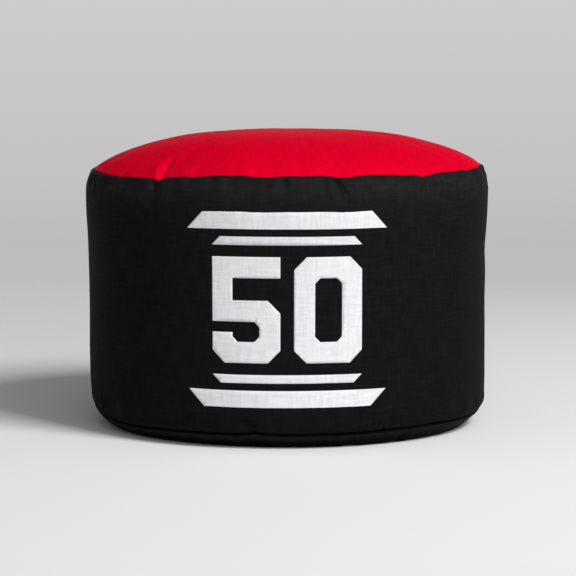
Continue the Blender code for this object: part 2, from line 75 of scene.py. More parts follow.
# Bindings and liner
BINDING_CLOTH = 0.8 * MM
BINDING_COVER = 5 * MM
SIDE_BINDING_WIDTH = 26 * MM
LINER_CLOTH = 0.8 * MM
LINER_UNDER_CROWN = 1.1 * MM
LINER_IN_WALL = 2.3 * MM
LINER_SLOPE = 12 * MM
SAND_GAP = 0.4 * MM         # between the liner and the sand

# How the cloth lies at its seams
FOLD = 1.5 * MM             # bend of the base cloth at its seam
LIP = 1.1 * MM              # how far each cloth stands up beside the seam's groove
WALL_STILL, CROWN_STILL, BASE_STILL = 6 * MM, 5 * MM, 3 * MM        # no creases so near a seam
WALL_TOP_REACH, WALL_BASE_REACH, CROWN_REACH = 60 * MM, 30 * MM, 75 * MM    # of a seam's sag
BASE_SAG_REACH, BASE_SPREAD_REACH = 18 * MM, 9 * MM
SETTLED_REACH = 40 * MM     # from the top seam, where the crown's settling fades

# Stitches, print and weave
STITCH, BAR_STITCH = 4.4 * MM, 4 * MM
THREAD_RADIUS = 0.36 * MM
SEWN_REACH = 0.168          # how far from the middle the zip's stitching goes
PRINT_MIDDLE = 133 * MM     # height of the middle of the print
PRINT_LIFT = 0.28 * MM      # of the ink's face over the cloth
INK_THICKNESS = 0.2 * MM
THREAD_SPACING = 2.4 * MM   # of the weave as it is drawn
SLUB = 2.6 * MM             # length scale of the threads' unevenness

# Cloth simulation
SIMULATED_FRAMES = 20
PUCKER_CAP = 4 * MM
WALL_PUCKERS, CROWN_PUCKERS = 0.8, 0.3      # how much of the simulated movement is used
WALL_LOOSE, CROWN_LOOSE = 0.03, 0.02        # share by which each cloth is cut larger
CROWN_SIMULATED = 0.13      # width of the ring of the top panel that is simulated
CLOTH_SETTINGS = {
    "quality": 6, "mass": 0.2, "air_damping": 4, "tension_stiffness": 30,
    "compression_stiffness": 12, "shear_stiffness": 8, "bending_stiffness": 0.3,
    "use_pressure": True, "uniform_pressure_force": 4, "vertex_group_mass": "seams",
}

# Grids
AROUND = 600                # columns round the bag
CLOSE_ROWS = 34 * MM        # from a seam, where the wall's rows lie close
LINER_COLUMNS = 240
CROWN_RINGS = 75            # rings of the crown's grid
SIMULATED_COLUMNS, SIMULATED_WALL_ROWS, SIMULATED_CROWN_ROWS = 260, 44, 26


def corners(node):
    """Lowest and highest corner of a CAD node."""
    low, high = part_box(node)
    return np.array(low), np.array(high)


WALL_LOW, WALL_HIGH = corners("side_panel")
CROWN_HIGH = corners("top_panel")[1]
BASE_HIGH = corners("base_panel_front")[1]
TAB_LOW = corners("base_end_tab_right")[0]
TAPE_LOW, TAPE_HIGH = corners("zip_tape_rear")
SLIDER_LOW, SLIDER_HIGH = corners("zip_slider")
NECK_LOW, NECK_HIGH = corners("liner_neck")
BAG_RADIUS = WALL_HIGH[0]
TOP_SEAM = (CROWN_HIGH[0], WALL_HIGH[2] + GAP / 2)
BASE_SEAM = (BASE_HIGH[0], WALL_LOW[2] - GAP / 2)
BASE_FLAT = BASE_SEAM[0] - BASE_EDGE_RUN
CROWN_HEIGHT = CROWN_HIGH[2] - TOP_SEAM[1]
ZIP_REVEAL = -BASE_HIGH[1]
PANEL_LIFT = TAPE_LOW[2] - GAP - CLOTH
BASE_RIM = BASE_SEAM[0] - 0.5 * MM
BASE_RISE = BASE_SEAM[1] - GAP / 2 - 1.6 * FOLD
SLIDER_REST = (SLIDER_LOW[0] + SLIDER_HIGH[0]) / 2
SLIDER_LENGTH = SLIDER_HIGH[0] - SLIDER_LOW[0]
TROUGH_HEIGHT = NECK_LOW[2] - GAP
NECK_ROOM = NECK_HIGH[2] - LINER_CLOTH / 2


# Shape tools

def eased(share):
    """0 to 1 with a soft start and end: three times the square less twice the cube."""
    share = np.clip(share, 0, 1)
    return share * share * (3 - 2 * share)


def bell(x):
    """1 in the middle, falling off as e to the minus x squared."""
    return np.exp(-x * x)


def smooth_line(knots, share):
    """Points on a smooth line through the knots, at shares of its length.

    Between two knots it is the cubic that leaves each in the direction from the knot
    before to the knot after. Length is counted along the straight runs between knots.
    """
    knots = np.asarray(knots, float)
    runs = np.linalg.norm(np.diff(knots, axis=0), axis=1)
    place = np.concatenate([[0], np.cumsum(runs)])
    before = np.concatenate([[0], np.arange(len(knots) - 1)])
    after = np.concatenate([np.arange(1, len(knots)), [len(knots) - 1]])
    slope = (knots[after] - knots[before]) / (place[after] - place[before])[:, None]
    at = np.clip(share, 0, 1) * place[-1]
    knot = np.clip(np.searchsorted(place, at, side="right") - 1, 0, len(runs) - 1)
    way = ((at - place[knot]) / runs[knot])[..., None]
    run = runs[knot][..., None]
    return (
        (2 * way ** 3 - 3 * way ** 2 + 1) * knots[knot]
        + (way ** 3 - 2 * way ** 2 + way) * run * slope[knot]
        + (3 * way ** 2 - 2 * way ** 3) * knots[knot + 1]
        + (way ** 3 - way ** 2) * run * slope[knot + 1]
    )


def line_length(knots):
    """Length of the straight runs between the knots."""
    return np.linalg.norm(np.diff(np.asarray(knots, float), axis=0), axis=1).sum()


def line_normal(knots, share):
    """Direction square to the line, outwards for a line that runs out or down the bag."""
    step = 0.0005
    run = smooth_line(knots, share + step) - smooth_line(knots, share - step)
    run /= np.linalg.norm(run, axis=-1, keepdims=True)
    return np.stack([-run[..., 1], run[..., 0]], -1)


def turned(radius, height, turn):
    """Points at a radius and height, turned from the front."""
    radius, height, turn = np.broadcast_arrays(radius, height, turn)
    return np.stack([radius * np.sin(turn), -radius * np.cos(turn), height], -1)


def round_the_bag(table, turn):
    """A value given at some turns, in degrees, that passes softly from one to the next."""
    angles = np.array([row[0] for row in table], float)
    values = np.array([row[1] for row in table], float)
    angles = np.concatenate([angles, [angles[0] + 360]])
    values = np.concatenate([values, [values[0]]])
    at = (np.degrees(turn) - angles[0]) % 360 + angles[0]
    row = np.clip(np.searchsorted(angles, at, side="right") - 1, 0, len(angles) - 2)
    share = eased((at - angles[row]) / (angles[row + 1] - angles[row]))
    return values[row] + (values[row + 1] - values[row]) * share


def seam_form(table, turn, away, reach):
    """A seam's sag or spread, which fades softly from the seam to nothing at the reach."""
    return MM * round_the_bag(table, turn) * eased(1 - away / reach)


def creases(table, radius, turn, along):
    """Depth of a row of creases that run off a seam.

    Across its line each is a bell with a lower raised shoulder on both sides, and widens
    as it runs. Along its line it fades softly to nothing at its reach. A row of the table
    is (turn in degrees, depth, half width, reach, lean to the right), lengths in mm.
    """
    depth = np.zeros(np.broadcast(turn, along).shape)
    along = np.maximum(along, 0)
    for angle, deep, half, reach, lean in table:
        off = (turn - math.radians(angle) + math.pi) % (2 * math.pi) - math.pi
        x = (off * radius - lean * along) / (half * MM * (1 + along / (reach * MM)))
        shape = bell(x) - 0.4 * bell((np.abs(x) - 2) * 1.2)
        depth += deep * MM * shape * eased(1 - along / (reach * MM))
    return depth


def unseen_creases(seed, count, low, high, deepest):
    """Creases for the sides and the back, which the photograph doesn't show."""
    draw = np.random.default_rng(seed)
    angles = low + (high - low) * (np.arange(count) + draw.uniform(0.1, 0.9, count)) / count
    return [
        (angle, deepest * draw.uniform(0.25, 1), draw.uniform(3, 6), draw.uniform(14, 42),
         draw.uniform(-0.3, 0.3))
        for angle in angles
    ]


# The seams: sag in mm at turns in degrees, and how far the base seam stands out. The bag
# leans a little to its left.
TOP_SAG = (
    (-172, 0.6), (-150, -0.8), (-128, 0.2), (-110, -2.6), (-80, -4.4), (-68, -4.6), (-61, -5.3),
    (-57, -5.9), (-53.5, -5.1), (-49, -4.8), (-44.5, -4.7), (-41.5, -5.4), (-39.2, -7.0),
    (-37.6, -4.6), (-36.5, -3.6), (-33.5, -2.3), (-29.5, -1.6), (-27.6, -2.1), (-25, -1.0),
    (-21, 0.1), (-17.8, 0.7), (-15.6, 0.3), (-12.9, 1.0), (-8.9, -0.5), (-7.8, -0.2), (-6.2, -0.7),
    (-3, 0), (1, 0.7), (3, 0.3), (9.3, 0.7), (12, 0), (15.1, -1.4), (16.3, -0.7), (17.5, -1.1),
    (20.5, 0.2), (24, 1.0), (28, 0.4), (31, 0.3), (35, -0.7), (37.3, -0.4), (39.4, -1.0),
    (41.9, -3.2), (44.2, -1.9), (46.5, -1.2), (48.5, -0.5), (52, -0.2), (56, -0.4), (61, 0.2),
    (65.7, -1.1), (68.5, -0.7), (74, -0.3), (92, 0.2), (110, 1.0), (124, -1.2), (133, 0.8),
    (152, 0.2), (166, -1.0),
)
BASE_SAG = (
    (-160, 0.4), (-120, -0.6), (-90, 0.4), (-72, -0.6), (-50, -2.2), (-37, -1.0), (-16, -0.6),
    (-12, -0.2), (-9.5, 1.6), (-6, 0), (1, -0.5), (20, -0.3), (33, 0.9), (46, 1.2), (60, 0.6),
    (90, 0.9), (120, -0.5), (150, 0.5),
)
BASE_SPREAD = ((-70, 0), (20, 0), (64, 1.2), (92, 2.2), (120, 0.8), (180, 0))
TOP_CREASES_SEEN = [
    (-43.2, -1.6, 4.5, 22, -0.1), (-39.6, 3.2, 2.8, 18, -0.35), (-36.9, -1.2, 3, 16, -0.5),
    (-33.6, 0.9, 2.6, 15, -0.3),
    (-28, 0.7, 3, 14, 0), (-21.5, 0.9, 4, 24, 0.3), (-18.8, -0.7, 3, 26, 0.05), (-8.4, 0.9, 3, 18, 0.1),
    (-1, 3.0, 2.4, 20, 0.0), (3.6, -0.5, 3, 18, 0), (8, 0.6, 3.5, 18, 0.2), (11.6, -1.2, 3.5, 24, 0.6),
    (12.8, 6.0, 3.1, 40, 0.33), (17.2, -1.6, 4, 30, 0.33), (26, 0.7, 3, 20, -0.1), (30, 0.7, 4, 22, 0.3),
    (35.5, 0.6, 3, 16, 0.1), (43.4, 2.8, 2.4, 30, 0.34), (47.5, -0.9, 3.4, 22, 0.3), (57, 0.7, 4, 20, 0.2),
    (67, 1.6, 3, 18, 0.1), (73, -0.8, 3, 16, 0),
]
CROWN_CREASES_SEEN = [
    (-41.8, -0.9, 3.6, 44, -0.44), (-38.5, 3.9, 3.4, 58, -0.47), (-31, -0.5, 4, 24, 0),
    (-26.7, 1.0, 2.6, 20, 0), (-9, 0.5, 3, 18, 0), (-4.5, 1.0, 2.6, 22, 0), (-1, 0.6, 2.6, 16, 0),
    (12.5, -0.8, 3, 16, 0), (15.6, 1.9, 2.4, 14, -0.1), (29, 0.4, 4, 20, 0), (40.8, 1.5, 2.6, 28, 0),
    (44.5, -0.7, 3.5, 20, 0), (64.5, 1.0, 3, 18, 0), (-66, 0.8, 4, 30, 0), (-56, 0.6, 4, 26, 0),
]
FINE_CREASES = unseen_creases(15, 46, -84, 84, 1.0)
WALL_TOP_CREASES = TOP_CREASES_SEEN + FINE_CREASES + unseen_creases(11, 17, 84, 302, 2.2)
WALL_BASE_CREASES = [
    (-50, 1.0, 6, 20, 0.2), (-36, 0.5, 4, 14, 0), (-9.7, 1.4, 3, 10, 0.1), (14, 0.5, 4, 16, 0),
    (33, 0.8, 4, 16, -0.1), (58, 0.7, 5, 18, -0.2),
] + unseen_creases(12, 13, 84, 300, 1.5)
CROWN_CREASES = CROWN_CREASES_SEEN + unseen_creases(13, 16, 84, 290, 2.0)
BASE_CREASES = unseen_creases(14, 26, 0, 360, 1.3)

# How far the crown has settled, as (across the bag, lower) in mm
CROWN_SETTLED = (
    (-192, 0.6), (-178, 0.9), (-158, 1.3), (-146, 2.0), (-134, 2.5), (-123, 2.8), (-111, 2.4),
    (-99, 2.1), (-75, 1.8), (-51, 1.5), (-3, 1.3), (21, 1.4), (45, 1.0), (57, 0.7), (80, 0.2),
    (92, 0), (116, 0), (128, 0.5), (146, 0.8), (164, 0.2), (192, 0),
)

# How far the two sides stand out, as (share of the height, mm)
LEFT_SIDE = ((0, 0), (0.06, -0.7), (0.1, 0), (0.14, 0.5), (0.26, 0.8), (0.43, 0.5), (0.52, 0.4),
             (0.68, 0.7), (0.8, 1.1), (0.89, 0.8), (1, 0))
RIGHT_SIDE = ((0, 0), (0.03, 0.8), (0.14, 1.1), (0.24, 0.7), (0.35, 0.35), (0.45, -0.1), (0.55, 0.2),
              (0.6, -0.2), (0.64, -0.9), (0.68, -0.7), (0.72, -0.2), (0.8, 0), (0.89, -0.3), (1, 0))


def side_bulge(turn, up):
    """How far the wall stands out: each side's own, by the square of how far it is turned."""
    side = np.sin(turn)
    left = np.interp(up, *np.array(LEFT_SIDE).T) * np.maximum(-side, 0) ** 2
    right = np.interp(up, *np.array(RIGHT_SIDE).T) * np.maximum(side, 0) ** 2
    return (left + right) * MM


def swells(seed, turn, along, size):
    """Slow rise and fall of a full bag: waves of 4 to 13 round it, each also rolling along."""
    draw = np.random.default_rng(seed)
    total = np.zeros(np.broadcast(turn, along).shape)
    for wave in (4, 5, 7, 9, 11, 13):
        phase, roll, tilt = draw.uniform(0, 2 * math.pi, 3)
        total += np.sin(wave * turn + phase + tilt) * np.sin(along / size * 2 * math.pi + roll) / wave
    return total


# Puckers of the panels from a cloth simulation, as rows of movement in metres, by panel
PUCKERS = {}


def puckered(panel, turn, along):
    """Simulated movement at a turn and a share of the way along the panel.

    It is a cubic B-spline of the table's values: each of the four nearest rows and columns
    weighs with a cubic of the way to the next.
    """
    if panel not in PUCKERS:
        return 0
    table = PUCKERS[panel]
    rows, columns = table.shape
    turn, along = np.broadcast_arrays(turn, along)
    places = (np.clip(along, 0, 1) * (rows - 1), (turn / (2 * math.pi) + 0.5) * columns)
    first = [np.floor(place).astype(int) for place in places]
    weights = []
    for place, start in zip(places, first):
        way = place - start
        weights.append(((1 - way) ** 3 / 6, (3 * way ** 3 - 6 * way ** 2 + 4) / 6,
                        (-3 * way ** 3 + 3 * way ** 2 + 3 * way + 1) / 6, way ** 3 / 6))
    total = 0
    for down in range(4):
        row = np.clip(first[0] + down - 1, 0, rows - 1)
        for aside in range(4):
            column = (first[1] + aside - 1) % columns
            total = total + weights[0][down] * weights[1][aside] * table[row, column]
    return total


def simulated(points, looseness):
    """Blender's cloth simulation of one panel, pinned at its seams and pressed from inside.

    The points are a grid whose rows go round the bag, the first and last of them on a
    seam. The cloth is cut looser than its seams by a share of its size. Returns the points
    as they then lie.
    """
    rows, columns = points.shape[:2]
    faces, _, _ = grid_faces(rows, columns, False, True)
    mesh = bpy.data.meshes.new("simulated")
    mesh.from_pydata(points.reshape(-1, 3).tolist(), [], faces[:, ::-1].tolist())
    panel = bpy.data.objects.new("simulated", mesh)
    bpy.context.scene.collection.objects.link(panel)
    pins = panel.vertex_groups.new(name="seams")
    pins.add([*range(columns), *range((rows - 1) * columns, rows * columns)], 1, "REPLACE")
    cloth = panel.modifiers.new("cloth", "CLOTH")
    for key, value in CLOTH_SETTINGS.items():
        setattr(cloth.settings, key, value)
    cloth.settings.shrink_min = -looseness
    cloth.settings.effector_weights.gravity = 0
    cloth.collision_settings.use_collision = False
    cloth.point_cache.frame_start = 1
    cloth.point_cache.frame_end = SIMULATED_FRAMES
    for frame_number in range(1, SIMULATED_FRAMES + 1):
        bpy.context.scene.frame_set(frame_number)
    result = panel.evaluated_get(bpy.context.evaluated_depsgraph_get()).to_mesh()
    flat = np.zeros(rows * columns * 3, np.float32)
    result.vertices.foreach_get("co", flat)
    bpy.data.objects.remove(panel)
    bpy.context.scene.frame_set(1)
    return flat.reshape(rows, columns, 3).astype(float)


def pressed_out(points, looseness):
    """How far the simulation moves each point outwards, less its row's mean, within the cap."""
    moved = simulated(points, looseness) - points
    down = np.gradient(points, axis=0)
    across = (np.roll(points, -1, axis=1) - np.roll(points, 1, axis=1)) / 2
    normal = np.cross(across, down)
    normal /= np.linalg.norm(normal, axis=-1, keepdims=True)
    normal *= np.sign((normal * points * [1, 1, 0]).sum(axis=-1, keepdims=True).mean())
    outwards_by = (moved * normal).sum(axis=-1)
    outwards_by -= outwards_by.mean(axis=1, keepdims=True)
    return np.clip(outwards_by, -PUCKER_CAP, PUCKER_CAP)


# Outlines, as (radius, height)

def wall_knots(inward=0):
    """Outline of the side panel, from the inner edge of its top allowance to that of its base.

    Inward moves it in by that much, past the tight turns at the seams.
    """
    (top, top_z), (low, low_z) = TOP_SEAM, BASE_SEAM
    high_in, low_in = top_z - GAP / 2 - inward, low_z + GAP / 2 + inward
    knots = [(top - ALLOWANCE, high_in), (top - ALLOWANCE / 2, high_in)]
    if inward:
        knots += [(top - 1.5 * inward, high_in), (top - inward / 2, high_in - inward)]
    else:
        knots += [(top - GAP, high_in), (top + LIP * 0.7, high_in + LIP * 0.7),
                  (top + 2.6 * LIP, high_in)]
    for up, bulge in WALL_SHARES:
        seam = low + (top - low) * up
        knots.append((seam + (BAG_RADIUS - seam) * bulge - inward, low_z + (top_z - low_z) * up))
    if inward:
        knots += [(low - inward / 2, low_in + inward), (low - 1.5 * inward, low_in)]
    else:
        knots += [(low + 1.4 * LIP, low_in + LIP * 0.6), (low + LIP * 0.3, low_in - LIP * 0.2),
                  (low - GAP, low_in)]
    return knots + [(low - ALLOWANCE / 2, low_in), (low - ALLOWANCE, low_in)]


def crown_knots(inward=0):
    """Outline of the top panel, from the middle to the inner edge of its allowance.

    Its height falls from the middle as one less the radius's share to the power of the
    swell, all to the power of one over the shoulder. Inward moves it in by that much.
    """
    top, top_z = TOP_SEAM
    share = np.array(CROWN_SHARES)
    rise = (1 - share ** CROWN_SWELL) ** (1 / CROWN_SHOULDER)
    knots = list(zip(share * top, top_z + CROWN_HEIGHT * rise - inward))
    edge_z = top_z + GAP / 2 + inward
    if inward:
        knots = [(radius - inward * (radius / top) ** 4, height) for radius, height in knots[:-1]]
        knots.append((top - 2 * inward, edge_z + inward / 2))
    else:
        knots += [(top - GAP, edge_z + LIP), (top - LIP, edge_z)]
    return knots + [(top - ALLOWANCE / 2, edge_z), (top - ALLOWANCE, edge_z)]


WALL, WALL_IN = wall_knots(), wall_knots(CLOTH)
CROWN, CROWN_IN = crown_knots(), crown_knots(CLOTH)
WALL_LENGTH, CROWN_LENGTH = line_length(WALL), line_length(CROWN)


def wall_move(turn, down, up):
    """How far the side panel is moved outwards at a distance down and up from its seams.

    It is the sum of the bulge of its side, slow swells, the creases of both seams and the
    simulated puckers. The side seam at the back is a narrow groove between two low welts.
    """
    move = side_bulge(turn, up / (WALL_LENGTH - 2 * ALLOWANCE))
    move += 0.9 * MM * swells(1, turn, down, 0.3) + 0.5 * MM * swells(2, 3 * turn, down, 0.11)
    roll = bell((down - 16 * MM) / (12 * MM))       # just below the top seam
    move += 1.0 * MM * roll * swells(3, 2 * turn, down, 0.4)
    move -= creases(WALL_TOP_CREASES, BAG_RADIUS, turn, down)
    move -= creases(WALL_BASE_CREASES, BAG_RADIUS, turn, up)
    move += WALL_PUCKERS * puckered("wall", turn, down / (WALL_LENGTH - 2 * ALLOWANCE))
    back = (np.abs(turn) - math.pi) * BAG_RADIUS
    groove = 1.3 * MM * bell(back / (1.6 * MM))
    welt = 0.5 * MM * bell((np.abs(back) - 6 * MM) / (4 * MM))
    move -= groove - welt
    return move * (eased(down / WALL_STILL) * eased(up / WALL_STILL))


def wall_surface(turn, share, knots=WALL):
    """A point of the side panel.

    The outline is turned round the bag and moved square to itself. The sag and spread of
    the seams fade out down and up the panel.
    """
    turn, share = np.broadcast_arrays(turn, share)
    line, out = smooth_line(knots, share), line_normal(WALL, share)
    down = share * WALL_LENGTH - ALLOWANCE
    up = (1 - share) * WALL_LENGTH - ALLOWANCE
    move = wall_move(turn, down, up)
    radius = line[..., 0] + move * out[..., 0]
    radius = radius + seam_form(BASE_SPREAD, turn, up, WALL_BASE_REACH)
    height = line[..., 1] + move * out[..., 1]
    height = height + seam_form(TOP_SAG, turn, down, WALL_TOP_REACH)
    height = height + seam_form(BASE_SAG, turn, up, WALL_BASE_REACH)
    return turned(radius, height, turn)


def crown_surface(turn, share, knots=CROWN):
    """A point of the top panel.

    The outline is turned round the bag, moved square to itself by swells, simulated
    puckers and creases, then lowered by how far it has settled and by its seam's sag.
    """
    turn, share = np.broadcast_arrays(turn, share)
    line, out = smooth_line(knots, share), line_normal(CROWN, share)
    inward = (1 - share) * CROWN_LENGTH - ALLOWANCE
    move = 0.8 * MM * eased(share * 4) * swells(4, turn, inward, 0.3)
    move += CROWN_PUCKERS * puckered("crown", turn, 1 - inward / CROWN_SIMULATED)
    move -= creases(CROWN_CREASES, TOP_SEAM[0], turn, inward)
    move *= eased(inward / CROWN_STILL)
    radius = line[..., 0] + move * out[..., 0]
    height = line[..., 1] + move * out[..., 1]
    settled = np.interp(radius * np.sin(turn) / MM, *np.array(CROWN_SETTLED).T)
    height = height - MM * settled * eased(inward / SETTLED_REACH)
    height = height + seam_form(TOP_SAG, turn, inward, CROWN_REACH)
    return turned(radius, height, turn)


def simulate():
    """Simulates the side panel, and the outer ring of the top panel, between their seams."""
    turn = full_turn(SIMULATED_COLUMNS)
    seam = ALLOWANCE / WALL_LENGTH
    share = np.linspace(seam, 1 - seam, SIMULATED_WALL_ROWS)[:, None]
    wall_puckers = pressed_out(wall_surface(turn, share), WALL_LOOSE)
    seam = 1 - ALLOWANCE / CROWN_LENGTH
    share = np.linspace(seam - CROWN_SIMULATED / CROWN_LENGTH, seam, SIMULATED_CROWN_ROWS)[:, None]
    crown_puckers = pressed_out(crown_surface(turn, share), CROWN_LOOSE)
    PUCKERS.update(wall=wall_puckers, crown=crown_puckers)


def base_height(x, y):
    """Height of the base's outer face.

    It is flat out to the edge, where it rises to the rim as a power of the run. Along the
    zip it is pressed up into a valley, level over the zip and easing down to the floor.
    Where the two rises meet, the higher of them is rounded into the other.
    """
    run = np.clip((np.hypot(x, y) - BASE_FLAT) / (BASE_RIM - BASE_FLAT), 0, 1)
    edge = BASE_RISE * run ** BASE_EDGE_POWER
    valley = PANEL_LIFT * eased(1 - (np.abs(y) - ZIP_REVEAL - GAP) / VALLEY_SLOPE)
    return (edge + valley + np.sqrt((edge - valley) ** 2 + 0.15 * edge * valley)) / 2


def base_surface(x, y):
    """A point of the base's outer face: its height, and its seam's sag, spread and creases."""
    turn, inward = np.arctan2(x, -y), BASE_RIM - np.hypot(x, y)
    sag = seam_form(BASE_SAG, turn, inward, BASE_SAG_REACH)
    spread = seam_form(BASE_SPREAD, turn, inward, BASE_SPREAD_REACH)
    pressed = creases(BASE_CREASES, BASE_RIM, turn, inward) * eased(inward / BASE_STILL)
    height = np.maximum(base_height(x, y) + sag + pressed, 0)
    return np.stack([x + spread * np.sin(turn), y - spread * np.cos(turn), height], -1)


def square_to_base(x, y):
    """Direction into the bag, square to the base's outer face, from its slopes."""
    step = 0.3 * MM
    along = base_surface(x + step, y) - base_surface(x - step, y)
    across = base_surface(x, y + step) - base_surface(x, y - step)
    normal = np.cross(along, across)
    return normal / np.linalg.norm(normal, axis=-1, keepdims=True)


# Meshes

def closed_mesh(points, faces, flat):
    """A smooth closed mesh from points and an array of faces.

    Flat gives each face's corners their places (x, y) on the flat cloth. Points in one
    place are merged, and the faces are turned outwards.
    """
    mesh = bpy.data.meshes.new("piece")
    mesh.from_pydata(points.reshape(-1, 3).tolist(), [], faces.tolist())
    layer = mesh.uv_layers.new(name="cloth")
    layer.uv.foreach_set("vector", flat.astype(np.float32).reshape(-1))
    mesh.shade_smooth()
    bm = bmesh.new()
    bm.from_mesh(mesh)
    bmesh.ops.remove_doubles(bm, verts=bm.verts, dist=0.001 * MM)
    bmesh.ops.recalc_face_normals(bm, faces=bm.faces)
    bm.to_mesh(mesh)
    bm.free()
    return mesh


def grid_faces(rows, columns, closed_rows=False, closed_columns=False):
    """Faces of a grid of points, and the row and column of each of their corners."""
    steps = np.arange(rows - (not closed_rows)), np.arange(columns - (not closed_columns))
    down, along = np.meshgrid(*steps, indexing="ij")
    row = np.stack([down, down, down + 1, down + 1], -1).reshape(-1, 4)
    column = np.stack([along, along + 1, along + 1, along], -1).reshape(-1, 4)
    return (row % rows) * columns + column % columns, row, column


def shown(name, mesh, material, replaced=None, body=BAG):
    """A finished piece: its mesh in place, its material, what it replaces, its body."""
    mesh.name = name
    piece = bpy.data.objects.new(name, mesh)
    bpy.context.scene.collection.objects.link(piece)
    mesh.materials.clear()
    mesh.materials.append(material)
    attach(piece, body)
    if replaced:
        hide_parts(replaced)
    return piece


def ring_mesh(points, around, across):
    """A closed ring from rows of points that follow each other round its section.

    Each row goes round the bag. On the flat, a row has the length around and lies at its
    own place across.
    """
    rows, columns = points.shape[:2]
    faces, row, column = grid_faces(rows, columns, True, True)
    return closed_mesh(points, faces, np.stack([(column / columns - 0.5) * around, across[row % rows]], -1))


def sheet_mesh(front, back, flat):
    """A closed sheet: a grid of points, the like grid behind it, and a rim round both.

    Flat gives the places (x, y) of the grid's points on the flat cloth.
    """
    rows, columns = front.shape[:2]
    faces, _, _ = grid_faces(rows, columns)
    faces = np.concatenate([faces, faces[:, ::-1] + rows * columns, rim_faces(rows, columns)])
    points = np.concatenate([front.reshape(-1, 3), back.reshape(-1, 3)])
    return closed_mesh(points, faces, np.concatenate([flat.reshape(-1, 2)] * 2)[faces])


def full_turn(columns):
    """Turns of the columns of a closed grid, from the back round to the back."""
    return -math.pi + 2 * math.pi * np.arange(columns) / columns


def wall_mesh():
    """The side panel as a closed shell: its outer face, then back up its inner face."""
    near = np.linspace(0, CLOSE_ROWS, 30)[1:]
    ends = np.array([0, 5 * MM, 9 * MM, 11.6 * MM])
    inner = WALL_LENGTH - 2 * ALLOWANCE
    middle = np.linspace(CLOSE_ROWS, inner - CLOSE_ROWS, 44)[1:-1]
    down = np.concatenate([ends - ALLOWANCE, [-0.6 * MM, 0], near, middle, inner - near[::-1],
                           [inner, inner + 0.6 * MM], inner + ALLOWANCE - ends[::-1]])
    outer = (down + ALLOWANCE) / WALL_LENGTH
    inner_share = np.array([1, 0.985, 0.955, 0.93, 0.9, 0.8, 0.65, 0.5, 0.35, 0.2, 0.1, 0.07, 0.045,
                            0.015, 0])
    turn = full_turn(AROUND)
    front = wall_surface(turn, outer[:, None])
    back = wall_surface(turn, inner_share[:, None], WALL_IN)
    across = -WALL_LENGTH * np.concatenate([outer, inner_share])
    return ring_mesh(np.concatenate([front, back]), 2 * math.pi * BAG_RADIUS, across)


def disc_grid(rings):
    """Rings and turns of a square grid drawn out to a round: each square ring becomes a circle."""
    side = np.arange(-rings, rings + 1)
    row, column = np.meshgrid(side, side, indexing="ij")
    ring = np.maximum(np.abs(row), np.abs(column))
    wide = np.abs(row) >= np.abs(column)
    slope = np.where(wide, column / np.where(row == 0, 1, row), row / np.where(column == 0, 1, column))
    turn = math.pi / 4 * slope
    ahead = np.where(row < 0, math.pi + turn, turn)
    aside = np.where(column < 0, -math.pi / 2 - turn, math.pi / 2 - turn)
    return ring, np.where(wide, ahead, aside)


def crown_mesh():
    """The top panel as a closed shell of two rounds that share their rim.

    Its rings lie closer towards the seam, and the last of them make up the allowance.
    """
    ring, turn = disc_grid(CROWN_RINGS)
    share = np.arange(CROWN_RINGS + 1) / CROWN_RINGS
    inward = CROWN_LENGTH - ALLOWANCE
    within, past = 0.93, 0.07   # shares of the rings that lie within the seam and past it
    place = inward * (1 - (1 - np.clip(share / within, 0, 1)) ** 1.7)
    place = np.where(share > within, inward + ALLOWANCE * (share - within) / past, place)
    share = (place / CROWN_LENGTH)[ring]
    flat = turned(share * CROWN_LENGTH, 0, turn)[..., :2]
    return sheet_mesh(crown_surface(turn, share), crown_surface(turn, share, CROWN_IN), flat)


def rim_faces(rows, columns):
    """Faces that join the rims of two like grids of points, one after the other."""
    index = np.arange(rows * columns).reshape(rows, columns)
    loop = np.concatenate([index[0, :-1], index[:-1, -1], index[-1, :0:-1], index[:0:-1, 0]])
    after = np.roll(loop, -1)
    return np.stack([after, loop, loop + rows * columns, after + rows * columns], -1)


def rounded_edge(margin, thickness):
    """How far each face of a sheet draws in at a point this far from its edge.

    Within half the thickness of the edge both faces follow a half circle to its middle.
    """
    share = np.clip(1 - margin / (thickness / 2), 0, 1)
    return thickness / 2 * (1 - np.sqrt(1 - share ** 2))


